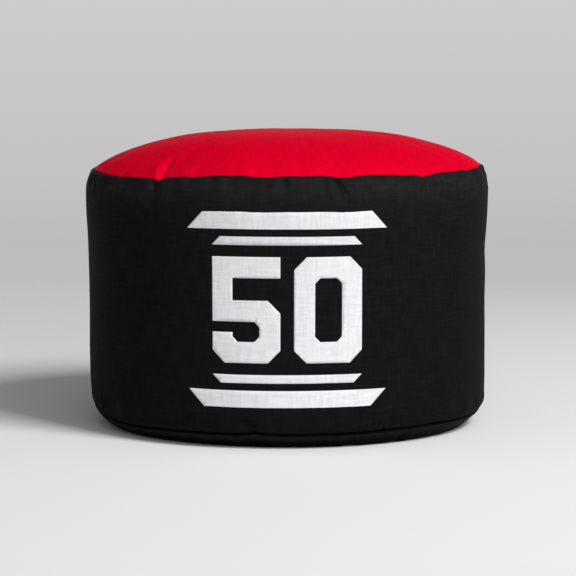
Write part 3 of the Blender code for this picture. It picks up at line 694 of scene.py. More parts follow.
def base_patch(start, turn, margin):
    """A piece of the base as a closed sheet, folded in under the base seam at its rim.

    Rows run straight from the start, points of (x, y), to the rim at the turns. The inner
    face lies square behind the outer one. Past the rim both faces follow a bend about one
    centre and then run level inwards. Margin gives how far a point is from a raw edge,
    which is rounded.
    """
    rim = BASE_RIM * np.stack([np.sin(turn), -np.cos(turn)], -1)
    length = np.linalg.norm(rim - start, axis=-1)
    near = np.arange(5)[:, None]
    close = np.minimum(near ** 2 * 0.07 * MM / np.maximum(length, MM), 0.02 * near)
    rest = 1 - (1 - np.linspace(0, 1, 76)[1:, None]) ** 1.25
    share = np.concatenate([close, close[-1] + (1 - close[-1]) * rest])[..., None]
    flat = start + (rim - start) * share
    x, y = flat[..., 0], flat[..., 1]
    inward = square_to_base(x, y)
    draw_in = rounded_edge(margin(x, y), CLOTH)[..., None]
    outer = base_surface(x, y) + inward * draw_in
    inner = base_surface(x, y) + inward * (CLOTH - draw_in)

    # Steps of the bend, then of the level run past it
    angle = np.radians([-12, 15, 42, 68, 90, 90, 90])[:, None]
    run = MM * np.array([0, 0, 0, 0, 0, 5, 12])[:, None]
    centre = BASE_SEAM[0] - 0.2 * MM - FOLD, BASE_SEAM[1] - GAP / 2 - FOLD
    sag, spread = MM * round_the_bag(BASE_SAG, turn), MM * round_the_bag(BASE_SPREAD, turn)
    limit = np.abs(rim[:, 1])

    def folded(bend):
        radius = centre[0] + bend * np.cos(angle) - run + spread
        points = turned(radius, centre[1] + bend * np.sin(angle) + sag, turn)
        if limit.min() > ZIP_REVEAL - GAP:
            points[..., 1] = np.copysign(np.maximum(np.abs(points[..., 1]), ZIP_REVEAL), rim[:, 1])
        return points

    beyond = flat[-1] * (1 + (FOLD * (angle + 0.6) + run) / BASE_RIM)[..., None]
    return sheet_mesh(np.concatenate([outer, folded(FOLD)]),
                      np.concatenate([inner, folded(FOLD - CLOTH)]), np.concatenate([flat, beyond]))


def base_panel_mesh(side):
    """Half of the base, from its edge along the zip to the rim."""
    widest = math.acos(ZIP_REVEAL / BASE_RIM)
    turn = np.linspace(-widest, widest, 241)
    start = np.stack([BASE_RIM * np.sin(turn), np.full(len(turn), side * ZIP_REVEAL)], -1)
    if side > 0:
        turn = math.pi - turn
    return base_patch(start, turn, lambda x, y: np.abs(y) - ZIP_REVEAL)


def end_tab_mesh(side):
    """The strip that closes the base between the end of the zip and the rim."""
    half = ZIP_REVEAL - GAP
    y = half * np.sin(np.linspace(-math.pi / 2, math.pi / 2, 33))
    start = np.stack([np.full(len(y), side * TAB_LOW[0]), y], -1)
    turn = np.arctan2(side * np.sqrt(BASE_RIM ** 2 - y ** 2), -y)
    return base_patch(start, turn, lambda x, y: np.minimum(np.abs(x) - TAB_LOW[0], half - np.abs(y)))


def binding_mesh(seam, sag_table):
    """Binding tape folded round the raw edges of a seam, open outwards.

    Its section is a U of tape round the two cloths. Small waves along it lift and lower
    its two sides.
    """
    edge, half = seam[0] - ALLOWANCE, GAP / 2 + CLOTH + GAP + BINDING_CLOTH
    inner, back = half - BINDING_CLOTH, edge - GAP - BINDING_CLOTH
    front, soft = edge + BINDING_COVER, 0.5 * MM
    outside = [(front, half - 0.1 * MM), ((front + edge) / 2, half), (edge, half),
               (back + soft, half), (back, half - soft)]
    inside = [(edge - GAP, inner - soft), (edge + soft, inner), (front, inner)]
    mirrored = [(place, -height) for place, height in reversed(inside + outside)]
    section = outside + [(back, 0)] + mirrored + inside
    radius, height = np.array(section).T[:, :, None]
    turn = full_turn(360)
    away = np.sign(height) * (radius > edge) * (np.abs(height) > half - 0.2 * MM)
    wave = 0.12 * MM * (np.sin(46 * turn) + np.sin(71 * turn + 1))
    height = height + seam[1] + MM * round_the_bag(sag_table, turn) + away * np.maximum(wave, 0)
    points = turned(radius, height, turn)
    across = np.cumsum(np.linalg.norm(np.diff(np.array(section), axis=0, prepend=[section[0]]), axis=1))
    return ring_mesh(points, 2 * math.pi * edge, across)


def side_binding_mesh():
    """Binding tape over the side seam, on the inner face of the side panel at the back."""
    across = np.linspace(-1, 1, 19)
    share = np.linspace(0.085, 0.915, 90)[:, None]
    turn = math.pi + across * SIDE_BINDING_WIDTH / 2 / BAG_RADIUS
    near, far = CLOTH + GAP, CLOTH + GAP + BINDING_CLOTH
    front = wall_surface(turn, share, wall_knots(near))
    back = wall_surface(turn, share, wall_knots(far))
    flat = np.stack(np.broadcast_arrays(share * WALL_LENGTH, across * SIDE_BINDING_WIDTH / 2), -1)
    return sheet_mesh(front, back, flat)


def liner_floor(depth, rim, turn):
    """The underside of the filled bag, rows of points from its rim to the middle.

    It lies on the base. Over the zip it rises evenly, and over the folded neck a little more.
    """
    floor = turned(rim * np.linspace(1, 0, 52)[:, None], 0, turn)
    x, y = floor[..., 0], floor[..., 1]
    floor[..., 2] = base_surface(x, y)[..., 2] + CLOTH + 0.6 * MM + depth
    over_zip = eased(1 - (np.abs(y) - ZIP_REVEAL - TAPE_WIDTH - depth) / LINER_SLOPE)
    over_neck = eased(1 - (np.abs(x) - NECK_HIGH[0] - GAP - depth) / LINER_SLOPE)
    raised = TROUGH_HEIGHT + (NECK_ROOM - TROUGH_HEIGHT) * over_neck + depth
    floor[..., 2] += np.maximum(raised - floor[..., 2], 0) * over_zip
    return floor


def filled_mesh(depth):
    """The liner, or what is in it, as one closed bag this far inside the liner's outer face.

    From the middle of the crown it follows the top panel, steps in past the top seam's
    binding, follows the side panel, steps in past the base seam's binding and closes over
    the base.
    """
    turn = full_turn(LINER_COLUMNS)
    under, beside = CLOTH + LINER_UNDER_CROWN + depth, CLOTH + LINER_IN_WALL + depth
    step, clear = ALLOWANCE + 2.2 * MM + depth, 3.7 * MM + depth
    crown_share = np.linspace(0, 1 - (ALLOWANCE + step + MM) / CROWN_LENGTH, 46)[:, None]
    crown = crown_surface(turn, crown_share, crown_knots(under))
    side_share = (ALLOWANCE + 5 * MM) / WALL_LENGTH
    side = wall_surface(turn, np.linspace(side_share, 1 - side_share, 60)[:, None], wall_knots(beside))

    def stepped(seam, up, table):
        height = seam[1] + up * clear + MM * round_the_bag(table, turn)
        near = turned(seam[0] - step, height, turn)
        return near, turned(seam[0] - step / 3, height - up * MM, turn)

    top_in, top_out = stepped(TOP_SEAM, -1, TOP_SAG)
    low_in, low_out = stepped(BASE_SEAM, 1, BASE_SAG)
    floor = liner_floor(depth, BASE_SEAM[0] - step, turn)
    points = np.concatenate([crown, [top_in, top_out], side, [low_out, low_in], floor])
    faces, row, column = grid_faces(len(points), LINER_COLUMNS, False, True)
    down = np.concatenate([[0], np.cumsum(np.linalg.norm(np.diff(points[:, 0], axis=0), axis=1))])
    flat = np.stack([column / LINER_COLUMNS * 2 * math.pi * BAG_RADIUS, down[row]], -1)
    return closed_mesh(points, faces, flat)


def neck_mesh():
    """The filling neck: a flat strip of doubled cloth that runs back and folds under itself."""
    low, high = NECK_LOW[2] + LINER_CLOTH, NECK_ROOM - GAP - LINER_CLOTH
    bend, run = (high - low) / 2, -NECK_LOW[1] - LINER_CLOTH
    fold = [(run + bend * math.sin(angle), (low + high) / 2 + bend * math.cos(angle))
            for angle in np.linspace(0, math.pi, 9)]
    knots = [(-run, NECK_HIGH[2]), (-run, high + 0.7 * MM), (0.8 * MM - run, high), (5 * MM - run, high),
             (0, high), (run - 5 * MM, high)] + fold + [(run - 5 * MM, low), (0, low), (-run, low)]
    share = np.linspace(0, 1, 120)
    line, out = smooth_line(knots, share), line_normal(knots, share)
    x = np.linspace(NECK_LOW[0], NECK_HIGH[0], 61)

    def face(away):
        place = (line + away * LINER_CLOTH * out)[:, None, :]
        z = place[..., 1] + 0.08 * MM * np.sin(x * 140)
        return np.stack(np.broadcast_arrays(x, place[..., 0], z), -1)

    flat = np.stack(np.meshgrid(share * line_length(knots), x, indexing="ij"), -1)
    return sheet_mesh(face(1), face(-1), flat)


def strip_mesh(low, high):
    """A flat strip with rounded edges between two corners, given on a fine grid."""
    soft = (1 - np.cos(np.linspace(0, math.pi, 61))) / 2
    x, y = np.meshgrid(*(low[axis] + (high[axis] - low[axis]) * soft for axis in (0, 1)), indexing="ij")
    margin = np.minimum(np.minimum(x - low[0], high[0] - x), np.minimum(y - low[1], high[1] - y))
    draw_in = rounded_edge(margin, high[2] - low[2])
    return sheet_mesh(np.stack([x, y, low[2] + draw_in], -1), np.stack([x, y, high[2] - draw_in], -1),
                      np.stack([x, y], -1))


def spread_at(x):
    """How far each row of teeth is parted: eased from none to all along the slider."""
    local = (x - SLIDER_REST) / SLIDER_LENGTH
    return ROW_SPREAD * eased((local + 0.36) / 0.77)


def tape_mesh(side):
    """A zip tape: its near edge follows the row as it parts, its far edge is straight.

    Past the teeth it waves a little where it is sewn.
    """
    x = np.linspace(TAPE_LOW[0], TAPE_HIGH[0], 260)[:, None]
    share = (1 - np.cos(np.linspace(0, math.pi, 25))) / 2
    near = TAPE_EDGE + spread_at(x)
    y = near + (TAPE_EDGE + TAPE_WIDTH - near) * share
    x = np.broadcast_to(x, y.shape)
    margin = np.minimum(y - near, TAPE_EDGE + TAPE_WIDTH - y)
    draw_in = rounded_edge(margin, TAPE_THICKNESS)
    wave = 0.16 * MM * eased((y - 12 * MM) / (8 * MM)) * (1 + np.sin(x * 310) * np.sin(x * 47 + side))
    low, high = TAPE_LOW[2] + draw_in + wave, TAPE_HIGH[2] - draw_in + wave
    return sheet_mesh(np.stack([x, side * y, low], -1), np.stack([x, side * y, high], -1),
                      np.stack([x, side * y], -1))


def stitch_row(start, end, pitch=STITCH):
    """Middles, directions and lengths of stitches from one point of (x, y) to another."""
    start, end = np.array(start), np.array(end)
    length = np.linalg.norm(end - start)
    count = max(int(length / pitch), 1)
    middles = start + (end - start) * ((np.arange(count) + 0.5) / count)[:, None]
    return [np.concatenate([middle, (end - start) / length, [0.78 * length / count]]) for middle in middles]


def thread_mesh(stitches):
    """Stitches on the base's outer face.

    Each is a round thread in an arch: its depth below the cloth falls with the fourth
    power of the way from its middle, and its ends dip into the cloth.
    """
    table = np.array(stitches)[:, None, None, :]
    along = np.linspace(-1, 1, 7)[:, None]
    turn = np.linspace(0, 2 * math.pi, 6, endpoint=False)
    thin = THREAD_RADIUS * np.sqrt(1 - 0.5 * along ** 6)
    step = table[..., 4] / 2 * along
    aside = thin * np.cos(turn)
    x = table[..., 0] + table[..., 2] * step - table[..., 3] * aside
    y = table[..., 1] + table[..., 3] * step + table[..., 2] * aside
    points = base_surface(x, y)
    points[..., 2] += 0.1 * MM + 0.75 * MM * along ** 4 - 0.35 * MM + thin * np.sin(turn)
    count, rows, sides = points.shape[:3]
    faces, _, _ = grid_faces(rows, sides, False, True)
    ends = np.array([[0, 1, 2, 3], [0, 3, 4, 5]])
    faces = np.concatenate([faces, ends, (rows - 1) * sides + ends[:, ::-1]])
    faces = (faces[None] + (np.arange(count) * rows * sides)[:, None, None]).reshape(-1, 4)
    flat = np.stack(np.broadcast_arrays(step, turn * THREAD_RADIUS), -1).reshape(-1, 2)
    return closed_mesh(points, faces, flat[faces])


def zip_stitches(side):
    """Two rows along the zip on one base panel."""
    rows = []
    for inset in (1.7, 5.0):
        y = side * (ZIP_REVEAL + inset * MM)
        rows += stitch_row((-SEWN_REACH, y), (SEWN_REACH, y))
    return rows


def tab_stitches(side):
    """A row round each end tab and a dense bar across the end of the zip."""
    start, half = TAB_LOW[0] + 5.2 * MM, ZIP_REVEAL - 2 * MM
    rows = stitch_row((side * start, -half), (side * start, half))
    for y in (-half, half):
        rows += stitch_row((side * start, y), (side * SEWN_REACH, y))
    for y in np.linspace(-half, half, 21):
        near, far = side * (TAB_LOW[0] + 0.9 * MM), side * (TAB_LOW[0] + 4 * MM)
        rows += stitch_row((near, y), (far, y), BAR_STITCH)
    return rows


# The print: plain numerals between plain bars, as (across, up) in mm about its middle

NUMERAL_WIDTH, NUMERAL_HEIGHT, NUMERAL_GAP = 66, 100, 13
STROKE, CORNER, INNER_CORNER = 20, 12, 5
BARS = ((61, 69, 72.5), (76, 92, 98))       # as (low, high, half width)
CELL, CELL_OFFSET = 4, 0.37                 # offset so that no cut runs along an outline


def numeral_outlines():
    """Block numerals five and nought with cut corners, the nought in two halves."""
    wide, tall, cut, inner = NUMERAL_WIDTH, NUMERAL_HEIGHT, CORNER, INNER_CORNER
    left, right, low, high = STROKE, wide - STROKE, STROKE, tall - STROKE      # inside the strokes
    bowl, bowl_inside, hook = 59, 39, 29
    five = [
        (0, tall), (0, bowl_inside), (right - inner, bowl_inside), (right, bowl_inside - inner),
        (right, low + inner), (right - inner, low), (left + inner, low), (left, low + inner),
        (left, hook), (0, hook), (0, cut), (cut, 0), (wide - cut, 0), (wide, cut),
        (wide, bowl - cut), (wide - cut, bowl), (left, bowl), (left, high), (wide, high), (wide, tall),
    ]
    half = [
        (wide / 2, tall), (cut, tall), (0, tall - cut), (0, cut), (cut, 0), (wide / 2, 0),
        (wide / 2, low), (left + inner, low), (left, low + inner), (left, high - inner),
        (left + inner, high), (wide / 2, high),
    ]
    first, second, middle = -wide - NUMERAL_GAP / 2, NUMERAL_GAP / 2, tall / 2
    return [[(x + first, y - middle) for x, y in five], [(x + second, y - middle) for x, y in half],
            [(wide - x + second, y - middle) for x, y in half]]


def bar_outlines():
    """Bars above and below the numerals, cut slanting at their ends."""
    bars = []
    for low, high, half in BARS:
        slant = high - low
        for up in (1, -1):
            bars.append([(-half, up * low), (half, up * low), (half - slant, up * high),
                         (slant - half, up * high)])
    return bars


def print_cells():
    """The print's outlines as one flat mesh, cut into small cells so that it can bend."""
    bm = bmesh.new()
    for outline in numeral_outlines() + bar_outlines():
        bm.faces.new([bm.verts.new((x * MM, y * MM, 0)) for x, y in outline])
    bm.normal_update()
    bmesh.ops.triangulate(bm, faces=bm.faces)
    for axis, reach in ((0, 100), (1, 96)):
        for at in range(-reach, reach + 1, CELL):
            place, normal = [0, 0, 0], [0, 0, 0]
            place[axis], normal[axis] = (at + CELL_OFFSET) * MM, 1
            bmesh.ops.bisect_plane(bm, geom=[*bm.verts, *bm.edges, *bm.faces], dist=0.01 * MM,
                                   plane_co=place, plane_no=normal)
    bmesh.ops.remove_doubles(bm, verts=bm.verts, dist=0.02 * MM)
    for face in bm.faces:
        if face.normal.z < 0:
            face.normal_flip()
    mesh = bpy.data.meshes.new("front_print")
    bm.to_mesh(mesh)
    bm.free()
    return mesh


def print_mesh():
    """The print, laid on the side panel.

    Across the print is length round the bag. Up is height, turned into a share of the
    wall's outline.
    """
    mesh = print_cells()
    flat = np.zeros(len(mesh.vertices) * 3, np.float32)
    mesh.vertices.foreach_get("co", flat)
    across, up, _ = flat.reshape(-1, 3).astype(float).T
    share = np.linspace(0.05, 0.95, 400)
    height = smooth_line(WALL, share)[:, 1]
    share = np.interp(-(up + PRINT_MIDDLE), -height, share)
    points = wall_surface(across / BAG_RADIUS, share)
    out = points * [1, 1, 0]
    points = points + PRINT_LIFT * out / np.linalg.norm(out, axis=-1, keepdims=True)
    mesh.vertices.foreach_set("co", points.astype(np.float32).ravel())
    corner = np.zeros(len(mesh.loops), np.int32)
    mesh.loops.foreach_get("vertex_index", corner)
    cloth = np.stack([across, -share * WALL_LENGTH], -1)[corner]
    layer = mesh.uv_layers.new(name="cloth")
    layer.uv.foreach_set("vector", cloth.astype(np.float32).ravel())
    mesh.shade_smooth()
    return mesh


def moulded_mesh(cad_node):
    """A copy of a CAD node's mesh with its flat faces joined, ready for its edges to be rounded."""
    mesh = bpy.data.objects[cad_node].data.copy()
    bm = bmesh.new()
    bm.from_mesh(mesh)
    bmesh.ops.remove_doubles(bm, verts=bm.verts, dist=0.002 * MM)
    bmesh.ops.dissolve_limit(bm, angle_limit=math.radians(2), verts=bm.verts, edges=bm.edges)
    bmesh.ops.recalc_face_normals(bm, faces=bm.faces)
    bm.to_mesh(mesh)
    bm.free()
    mesh.shade_smooth()
    return mesh


# Colours and nodes

def colour(code):
    """Linear colour of an sRGB hex value."""
    parts = [int(code[start:start + 2], 16) / 255 for start in (0, 2, 4)]
    return [part / 12.92 if part <= 0.04045 else ((part + 0.055) / 1.055) ** 2.4 for part in parts] + [1]


def greys(*stops):
    """Stops of a colour ramp, from places and sRGB levels of grey."""
    return [(place, colour(f"{level:02X}" * 3)) for place, level in stops]


def node(tree, kind, settings=None, **links):
    """Adds a node of a kind, such as "TexNoise" or "Math SINE", with its settings and links.

    A value, a socket or the first output of a node goes to the input named, or numbered as
    in _0. A colour ramp's settings give its stops, as (place, linear colour).
    """
    kind, _, operation = kind.partition(" ")
    made = tree.nodes.new("ShaderNode" + kind)
    if operation:
        made.operation = operation
    settings = dict(settings or {})
    stops = settings.pop("stops", ())
    for key, value in settings.items():
        setattr(made, key, value)
    for _ in stops[2:]:
        made.color_ramp.elements.new(0.5)
    for number, (place, tone) in enumerate(stops):
        made.color_ramp.elements[number].position = place
        made.color_ramp.elements[number].color = tone
    for key, value in links.items():
        socket = made.inputs[int(key[1:]) if key[1:].isdigit() else key.replace("_", " ")]
        if isinstance(value, bpy.types.Node):
            value = value.outputs[0]
        if isinstance(value, bpy.types.NodeSocket):
            tree.links.new(value, socket)
        else:
            socket.default_value = value
    return made


def finish(name, **values):
    """A new material and its nodes, with the shader's plain values set on its sockets."""
    made = bpy.data.materials.new(name)
    made.use_nodes = True
    for key, value in values.items():
        made.node_tree.nodes["Principled BSDF"].inputs[key.replace("_", " ")].default_value = value
    return made, made.node_tree


def dyed(made, dark, light, tone, height, depth, strength, painted_shading=None, invert=False):
    """The material, coloured between two hex values by a tone, with a height as its relief.

    The painted shading, if given, is a colour to multiply by: painted light and shade.
    """
    tree = made.node_tree
    shader = tree.nodes["Principled BSDF"]
    dye = node(tree, "Mix", {"data_type": "RGBA"}, _0=tone, _6=colour(dark), _7=colour(light)).outputs[2]
    if painted_shading is not None:
        shaded = {"data_type": "RGBA", "blend_type": "MULTIPLY"}
        dye = node(tree, "Mix", shaded, _0=1.0, _6=dye, _7=painted_shading).outputs[2]
    relief = node(tree, "Bump", {"invert": invert}, Height=height, Distance=depth, Strength=strength)
    tree.links.new(dye, shader.inputs["Base Color"])
    tree.links.new(relief.outputs[0], shader.inputs["Normal"])
    return made


def woven(name, dark, light, painted_light_and_shade=(), rim=None, **values):
    """Heavy plain-woven cloth, dull to the eye, with a fine even grain and uneven threads.

    The weave is the product of two sine waves, one along each thread, on the piece's flat
    cloth coordinates. Slubs are noise drawn out along both threads. Real threads lie 0.6 mm
    apart; the weave is drawn coarser, so that it shows. Near the seams the tone is multiplied
    by painted light and shade: a painted highlight where the cloth rolls over a seam, painted
    shade in a seam's groove and where the base turns under towards the floor. The table of
    painted light and shade is (distance down the panel in mm, share by which the tone is
    raised), on a round panel counted inwards from the rim.
    """
    made, tree = finish(name, **values)
    flat = node(tree, "UVMap", {"uv_map": "cloth"})
    split = node(tree, "SeparateXYZ", Vector=flat)
    waves, slubs = [], []
    for axis, stretch in (("X", (1, 0.12, 1)), ("Y", (0.12, 1, 1))):
        threads = node(tree, "Math MULTIPLY", _0=split.outputs[axis], _1=2 * math.pi / THREAD_SPACING)
        waves.append(node(tree, "Math SINE", _0=threads))
        drawn = node(tree, "Mapping", Vector=flat, Scale=stretch)
        slubs.append(node(tree, "TexNoise", Vector=drawn, Scale=1 / SLUB, Detail=2.0, Roughness=0.6))
    weave = node(tree, "Math MULTIPLY", _0=waves[0], _1=waves[1])
    slub = node(tree, "Math ADD", _0=slubs[0], _1=slubs[1])
    slub = node(tree, "MapRange", Value=slub, From_Min=0.75, From_Max=1.25, To_Min=-1, To_Max=1)
    height = node(tree, "Math MULTIPLY_ADD", _0=slub, _1=0.8, _2=weave)
    tone = node(tree, "MapRange", Value=height, From_Min=-1.6, From_Max=1.6)
    # Painted light and shade near the seams, multiplied into the dye
    painted_shading = None
    if painted_light_and_shade:
        place, start, reach = split.outputs["Y"], -ALLOWANCE, painted_light_and_shade[-1][0]
        if rim:
            place, start = node(tree, "VectorMath LENGTH", _0=flat).outputs["Value"], rim
        down = node(tree, "MapRange", Value=place, From_Min=start, From_Max=start - reach * MM)
        stops = [(distance / reach, [1 + raised] * 3 + [1]) for distance, raised in painted_light_and_shade]
        painted_shading = node(tree, "ValToRGB", {"stops": stops}, Fac=down)
    return dyed(made, dark, light, tone, height, 0.12 * MM, 0.8, painted_shading)


def ribbed(name, dark, light, rib, **values):
    """Narrow woven tape: ribs across it, on its flat coordinates, with a fine uneven grain."""
    made, tree = finish(name, **values)
    flat = node(tree, "UVMap", {"uv_map": "cloth"})
    along = node(tree, "SeparateXYZ", Vector=flat)
    wave = node(tree, "Math SINE", _0=node(tree, "Math MULTIPLY", _0=along, _1=2 * math.pi / rib))
    grain = node(tree, "TexNoise", Vector=flat, Scale=1 / (0.9 * MM), Detail=3.0)
    height = node(tree, "Math MULTIPLY_ADD", _0=grain, _1=1.5, _2=wave)
    tone = node(tree, "MapRange", Value=height, From_Min=-0.6, From_Max=2.1)
    return dyed(made, dark, light, tone, height, 0.1 * MM, 0.7)


def herringbone(name):
    """Polyester zip tape: fine diagonal ribs that turn back every 1.6 mm, as it is woven.

    The diagonal is length along the tape plus the folded distance across it.
    """
    made, tree = finish(name, Roughness=0.75, Specular_IOR_Level=0.15, Sheen_Weight=0.02)
    split = node(tree, "SeparateXYZ", Vector=node(tree, "UVMap", {"uv_map": "cloth"}))
    folded = node(tree, "Math PINGPONG", _0=split.outputs["Y"], _1=1.6 * MM)
    diagonal = node(tree, "Math ADD", _0=split.outputs["X"], _1=folded)
    ribs = node(tree, "Math MULTIPLY", _0=diagonal, _1=2 * math.pi / (0.8 * MM))
    wave = node(tree, "Math SINE", _0=ribs)
    tone = node(tree, "MapRange", Value=wave, From_Min=-1, From_Max=1)
    return dyed(made, "141414", "2C2C2D", tone, wave, 0.08 * MM, 0.7)


def cast(name, dark, light, grit, depth, **values):
    """A moulded or cast surface: a close grit in its height, and a cloudier one in its tone."""
    made, tree = finish(name, **values)
    place = node(tree, "TexCoord").outputs["Object"]
    fine = node(tree, "TexNoise", Vector=place, Scale=1 / grit, Detail=3.0, Roughness=0.6)
    cloudy = node(tree, "TexNoise", Vector=place, Scale=1 / (grit * 9), Detail=2.0)
    tone = node(tree, "MapRange", Value=cloudy, From_Min=0.3, From_Max=0.7)
    return dyed(made, dark, light, tone, fine, depth, 0.6)


def ripstop(name):
    """Coated ripstop nylon: a smooth film with a thicker thread every 6 mm both ways."""
    made, tree = finish(name, Roughness=0.42, Specular_IOR_Level=0.4)
    flat = node(tree, "UVMap", {"uv_map": "cloth"})
    split = node(tree, "SeparateXYZ", Vector=flat)
    threads = []
    for axis in ("X", "Y"):
        off = node(tree, "Math PINGPONG", _0=split.outputs[axis], _1=3 * MM)
        threads.append(node(tree, "MapRange", Value=off, From_Min=0.45 * MM, From_Max=0.15 * MM))
    grid = node(tree, "Math MAXIMUM", _0=threads[0], _1=threads[1])
    soft = node(tree, "TexNoise", Vector=flat, Scale=1 / (14 * MM), Detail=3.0)
    height = node(tree, "Math MULTIPLY_ADD", _0=soft, _1=3.0, _2=grid)
    return dyed(made, "A19D90", "8B877B", grid, height, 0.25 * MM, 0.6)


def pile(name):
    """Hook and loop pile: close little tufts 1.4 mm apart, lighter at their tips."""
    made, tree = finish(name, Roughness=0.95, Specular_IOR_Level=0.1, Sheen_Weight=0.1)
    place = node(tree, "TexCoord").outputs["Object"]
    tufts = node(tree, "TexVoronoi", Vector=place, Scale=1 / (1.4 * MM))
    return dyed(made, "3A3A3B", "161616", tufts, tufts, 0.5 * MM, 0.8, invert=True)


def sand_grains(name):
    """Dry quartz sand: grains drawn 1.6 mm apart, so that they show, each of its own tan."""
    made, tree = finish(name, Roughness=0.9, Specular_IOR_Level=0.3)
    place = node(tree, "TexCoord").outputs["Object"]
    grains = node(tree, "TexVoronoi", Vector=place, Scale=1 / (1.6 * MM))
    each = node(tree, "SeparateXYZ", Vector=grains.outputs["Color"])
    return dyed(made, "A5845A", "D3B88C", each, grains, 0.6 * MM, 0.9, invert=True)


# Finishes. The tables of painted light and shade are (distance from the seam in mm, share by which the tone
# is raised).
SEAM_DOWN = (WALL_LENGTH - 2 * ALLOWANCE) / MM
# Painted highlight on the roll below the top seam, fading down the panel, and painted shade in the groove of
# the base seam
SIDE_PAINTED_LIGHT_AND_SHADE = (
    (0, 0.65), (8, 1.0), (16, 1.0), (24, 0.75), (33, 0.4), (50, 0.24), (120, 0.12), (240, 0),
    (SEAM_DOWN - 1.4, 0.1), (SEAM_DOWN - 0.5, -0.6), (SEAM_DOWN, -0.6),
)
# Painted shade in the base seam's groove, a painted highlight on the band below it, and painted shade where
# the base turns under towards the floor
BASE_PAINTED_LIGHT_AND_SHADE = (
    (0, -0.7), (0.2, -0.6), (0.9, 0.55), (3.7, 0.3), (5.5, -0.2), (7.6, -0.65), (10, -0.72),
    (30, -0.6), (60, 0),
)
BLACK = ("0A0A0A", "1A1A1A")
BLACK_VALUES = {"Roughness": 0.6, "Specular_IOR_Level": 0.008, "Sheen_Weight": 0.0045, "Sheen_Roughness": 0.3}

# Nylon dyed red, with a pale rim where it is seen along its threads
RED = woven("woven_red_nylon", "CA0020", "E3022B", Roughness=0.19, Specular_IOR_Level=0.00006,
            Sheen_Weight=0.05, Sheen_Roughness=0.1)
# Nylon dyed black, nearly without shine, with painted light and shade near its seams
BLACK_SIDE = woven("woven_black_nylon", *BLACK, SIDE_PAINTED_LIGHT_AND_SHADE, **BLACK_VALUES)
BLACK_BASE = woven("woven_black_nylon_base", *BLACK, BASE_PAINTED_LIGHT_AND_SHADE, BASE_RIM, **BLACK_VALUES)
# A matt white film that the cloth's weave shows through, thin and greyer where threads lie low
INK = woven("screen_printed_white_ink", "C9CACC", "EDEEF0", Roughness=0.6, Specular_IOR_Level=0.2)
# Polyester tape and thread: close ribs, the thread with a slight gloss
BINDING = ribbed("ribbed_binding_tape", "161616", "2A2A2A", 1.6 * MM, Roughness=0.8,
                 Specular_IOR_Level=0.1)
THREAD = ribbed("twisted_polyester_thread", "1C1C1C", "383839", 0.9 * MM, Roughness=0.5,
                Specular_IOR_Level=0.4, Sheen_Weight=0.05)
# Matt tape whose ribs turn back in a zigzag
TAPE = herringbone("herringbone_zip_tape")
# Acetal from a spark-eroded mould, satin; enamel baked on a zinc casting, glossy, a little uneven
ACETAL = cast("moulded_black_acetal", "151516", "1D1D1E", 0.25 * MM, 0.01 * MM, Roughness=0.38, IOR=1.48)
ENAMEL = cast("black_enamel_on_zinc", "0E0E0F", "17171A", 0.6 * MM, 0.012 * MM, Roughness=0.24,
              Metallic=0.0, IOR=1.5, Coat_Weight=0.6, Coat_Roughness=0.12)
# Nylon with a satin coating over its grid of threads; dull looped pile; dry matt sand
LINER = ripstop("coated_ripstop_liner")
PILE = pile("hook_and_loop_pile")
SAND = sand_grains("dry_quartz_sand")

simulate()

FRONT_AND_REAR = (("front", -1), ("rear", 1))
LEFT_AND_RIGHT = (("left", -1), ("right", 1))

# Shell
panels = [shown("top_panel_cloth", crown_mesh(), RED, "top_panel"),
          shown("side_panel_cloth", wall_mesh(), BLACK_SIDE, "side_panel")]
for word, side in FRONT_AND_REAR:
    panels.append(shown("base_cloth_" + word, base_panel_mesh(side), BLACK_BASE,
                        "base_panel_" + word))
for word, side in LEFT_AND_RIGHT:
    panels.append(shown("end_tab_cloth_" + word, end_tab_mesh(side), BLACK_BASE,
                        "base_end_tab_" + word))
film = shown("front_print", print_mesh(), INK).modifiers.new("film", "SOLIDIFY")
film.thickness = INK_THICKNESS
film.offset = -1

# Seams: the tapes are seen only with the bag open
for word, seam, sag in (("top", TOP_SEAM, TOP_SAG), ("base", BASE_SEAM, BASE_SAG)):
    shown(word + "_seam_tape", binding_mesh(seam, sag), BINDING, word + "_seam_binding")
shown("side_seam_tape", side_binding_mesh(), BINDING, "side_seam_binding")
for word, side in FRONT_AND_REAR:
    shown("zip_stitching_" + word, thread_mesh(zip_stitches(side)), THREAD)
for word, side in LEFT_AND_RIGHT:
    shown("tab_stitching_" + word, thread_mesh(tab_stitches(side)), THREAD)

# Zip
for word, side in FRONT_AND_REAR:
    shown("zip_tape_cloth_" + word, tape_mesh(side), TAPE, "zip_tape_" + word)
HARD_PIECES = (
    ("teeth_row_front", "zip_teeth_front", 0.22 * MM, ACETAL, "zip_teeth", BAG),
    ("teeth_row_rear", "zip_teeth_rear", 0.22 * MM, ACETAL, "zip_teeth", BAG),
    ("top_stop_front", "zip_top_stop_front", 0.35 * MM, ACETAL, "zip_teeth", BAG),
    ("top_stop_rear", "zip_top_stop_rear", 0.35 * MM, ACETAL, "zip_teeth", BAG),
    ("bottom_stop", "zip_bottom_stop", 0.35 * MM, ACETAL, "zip_teeth", BAG),
    ("slider_casting", "zip_slider", 0.35 * MM, ENAMEL, "zip_metal", SLIDER),
    ("pull_tab_casting", "zip_pull_tab", 0.4 * MM, ENAMEL, "zip_metal", PULL_TAB),
)
for name, cad_node, radius, material, slot, body in HARD_PIECES:
    piece = shown(name, moulded_mesh(cad_node), material, cad_node, body)
    soft_edges = piece.modifiers.new("soft_edges", "BEVEL")
    soft_edges.width = radius
    soft_edges.segments = 2
    soft_edges.limit_method = "ANGLE"
    soft_edges.angle_limit = math.radians(35)
    soft_edges.harden_normals = True

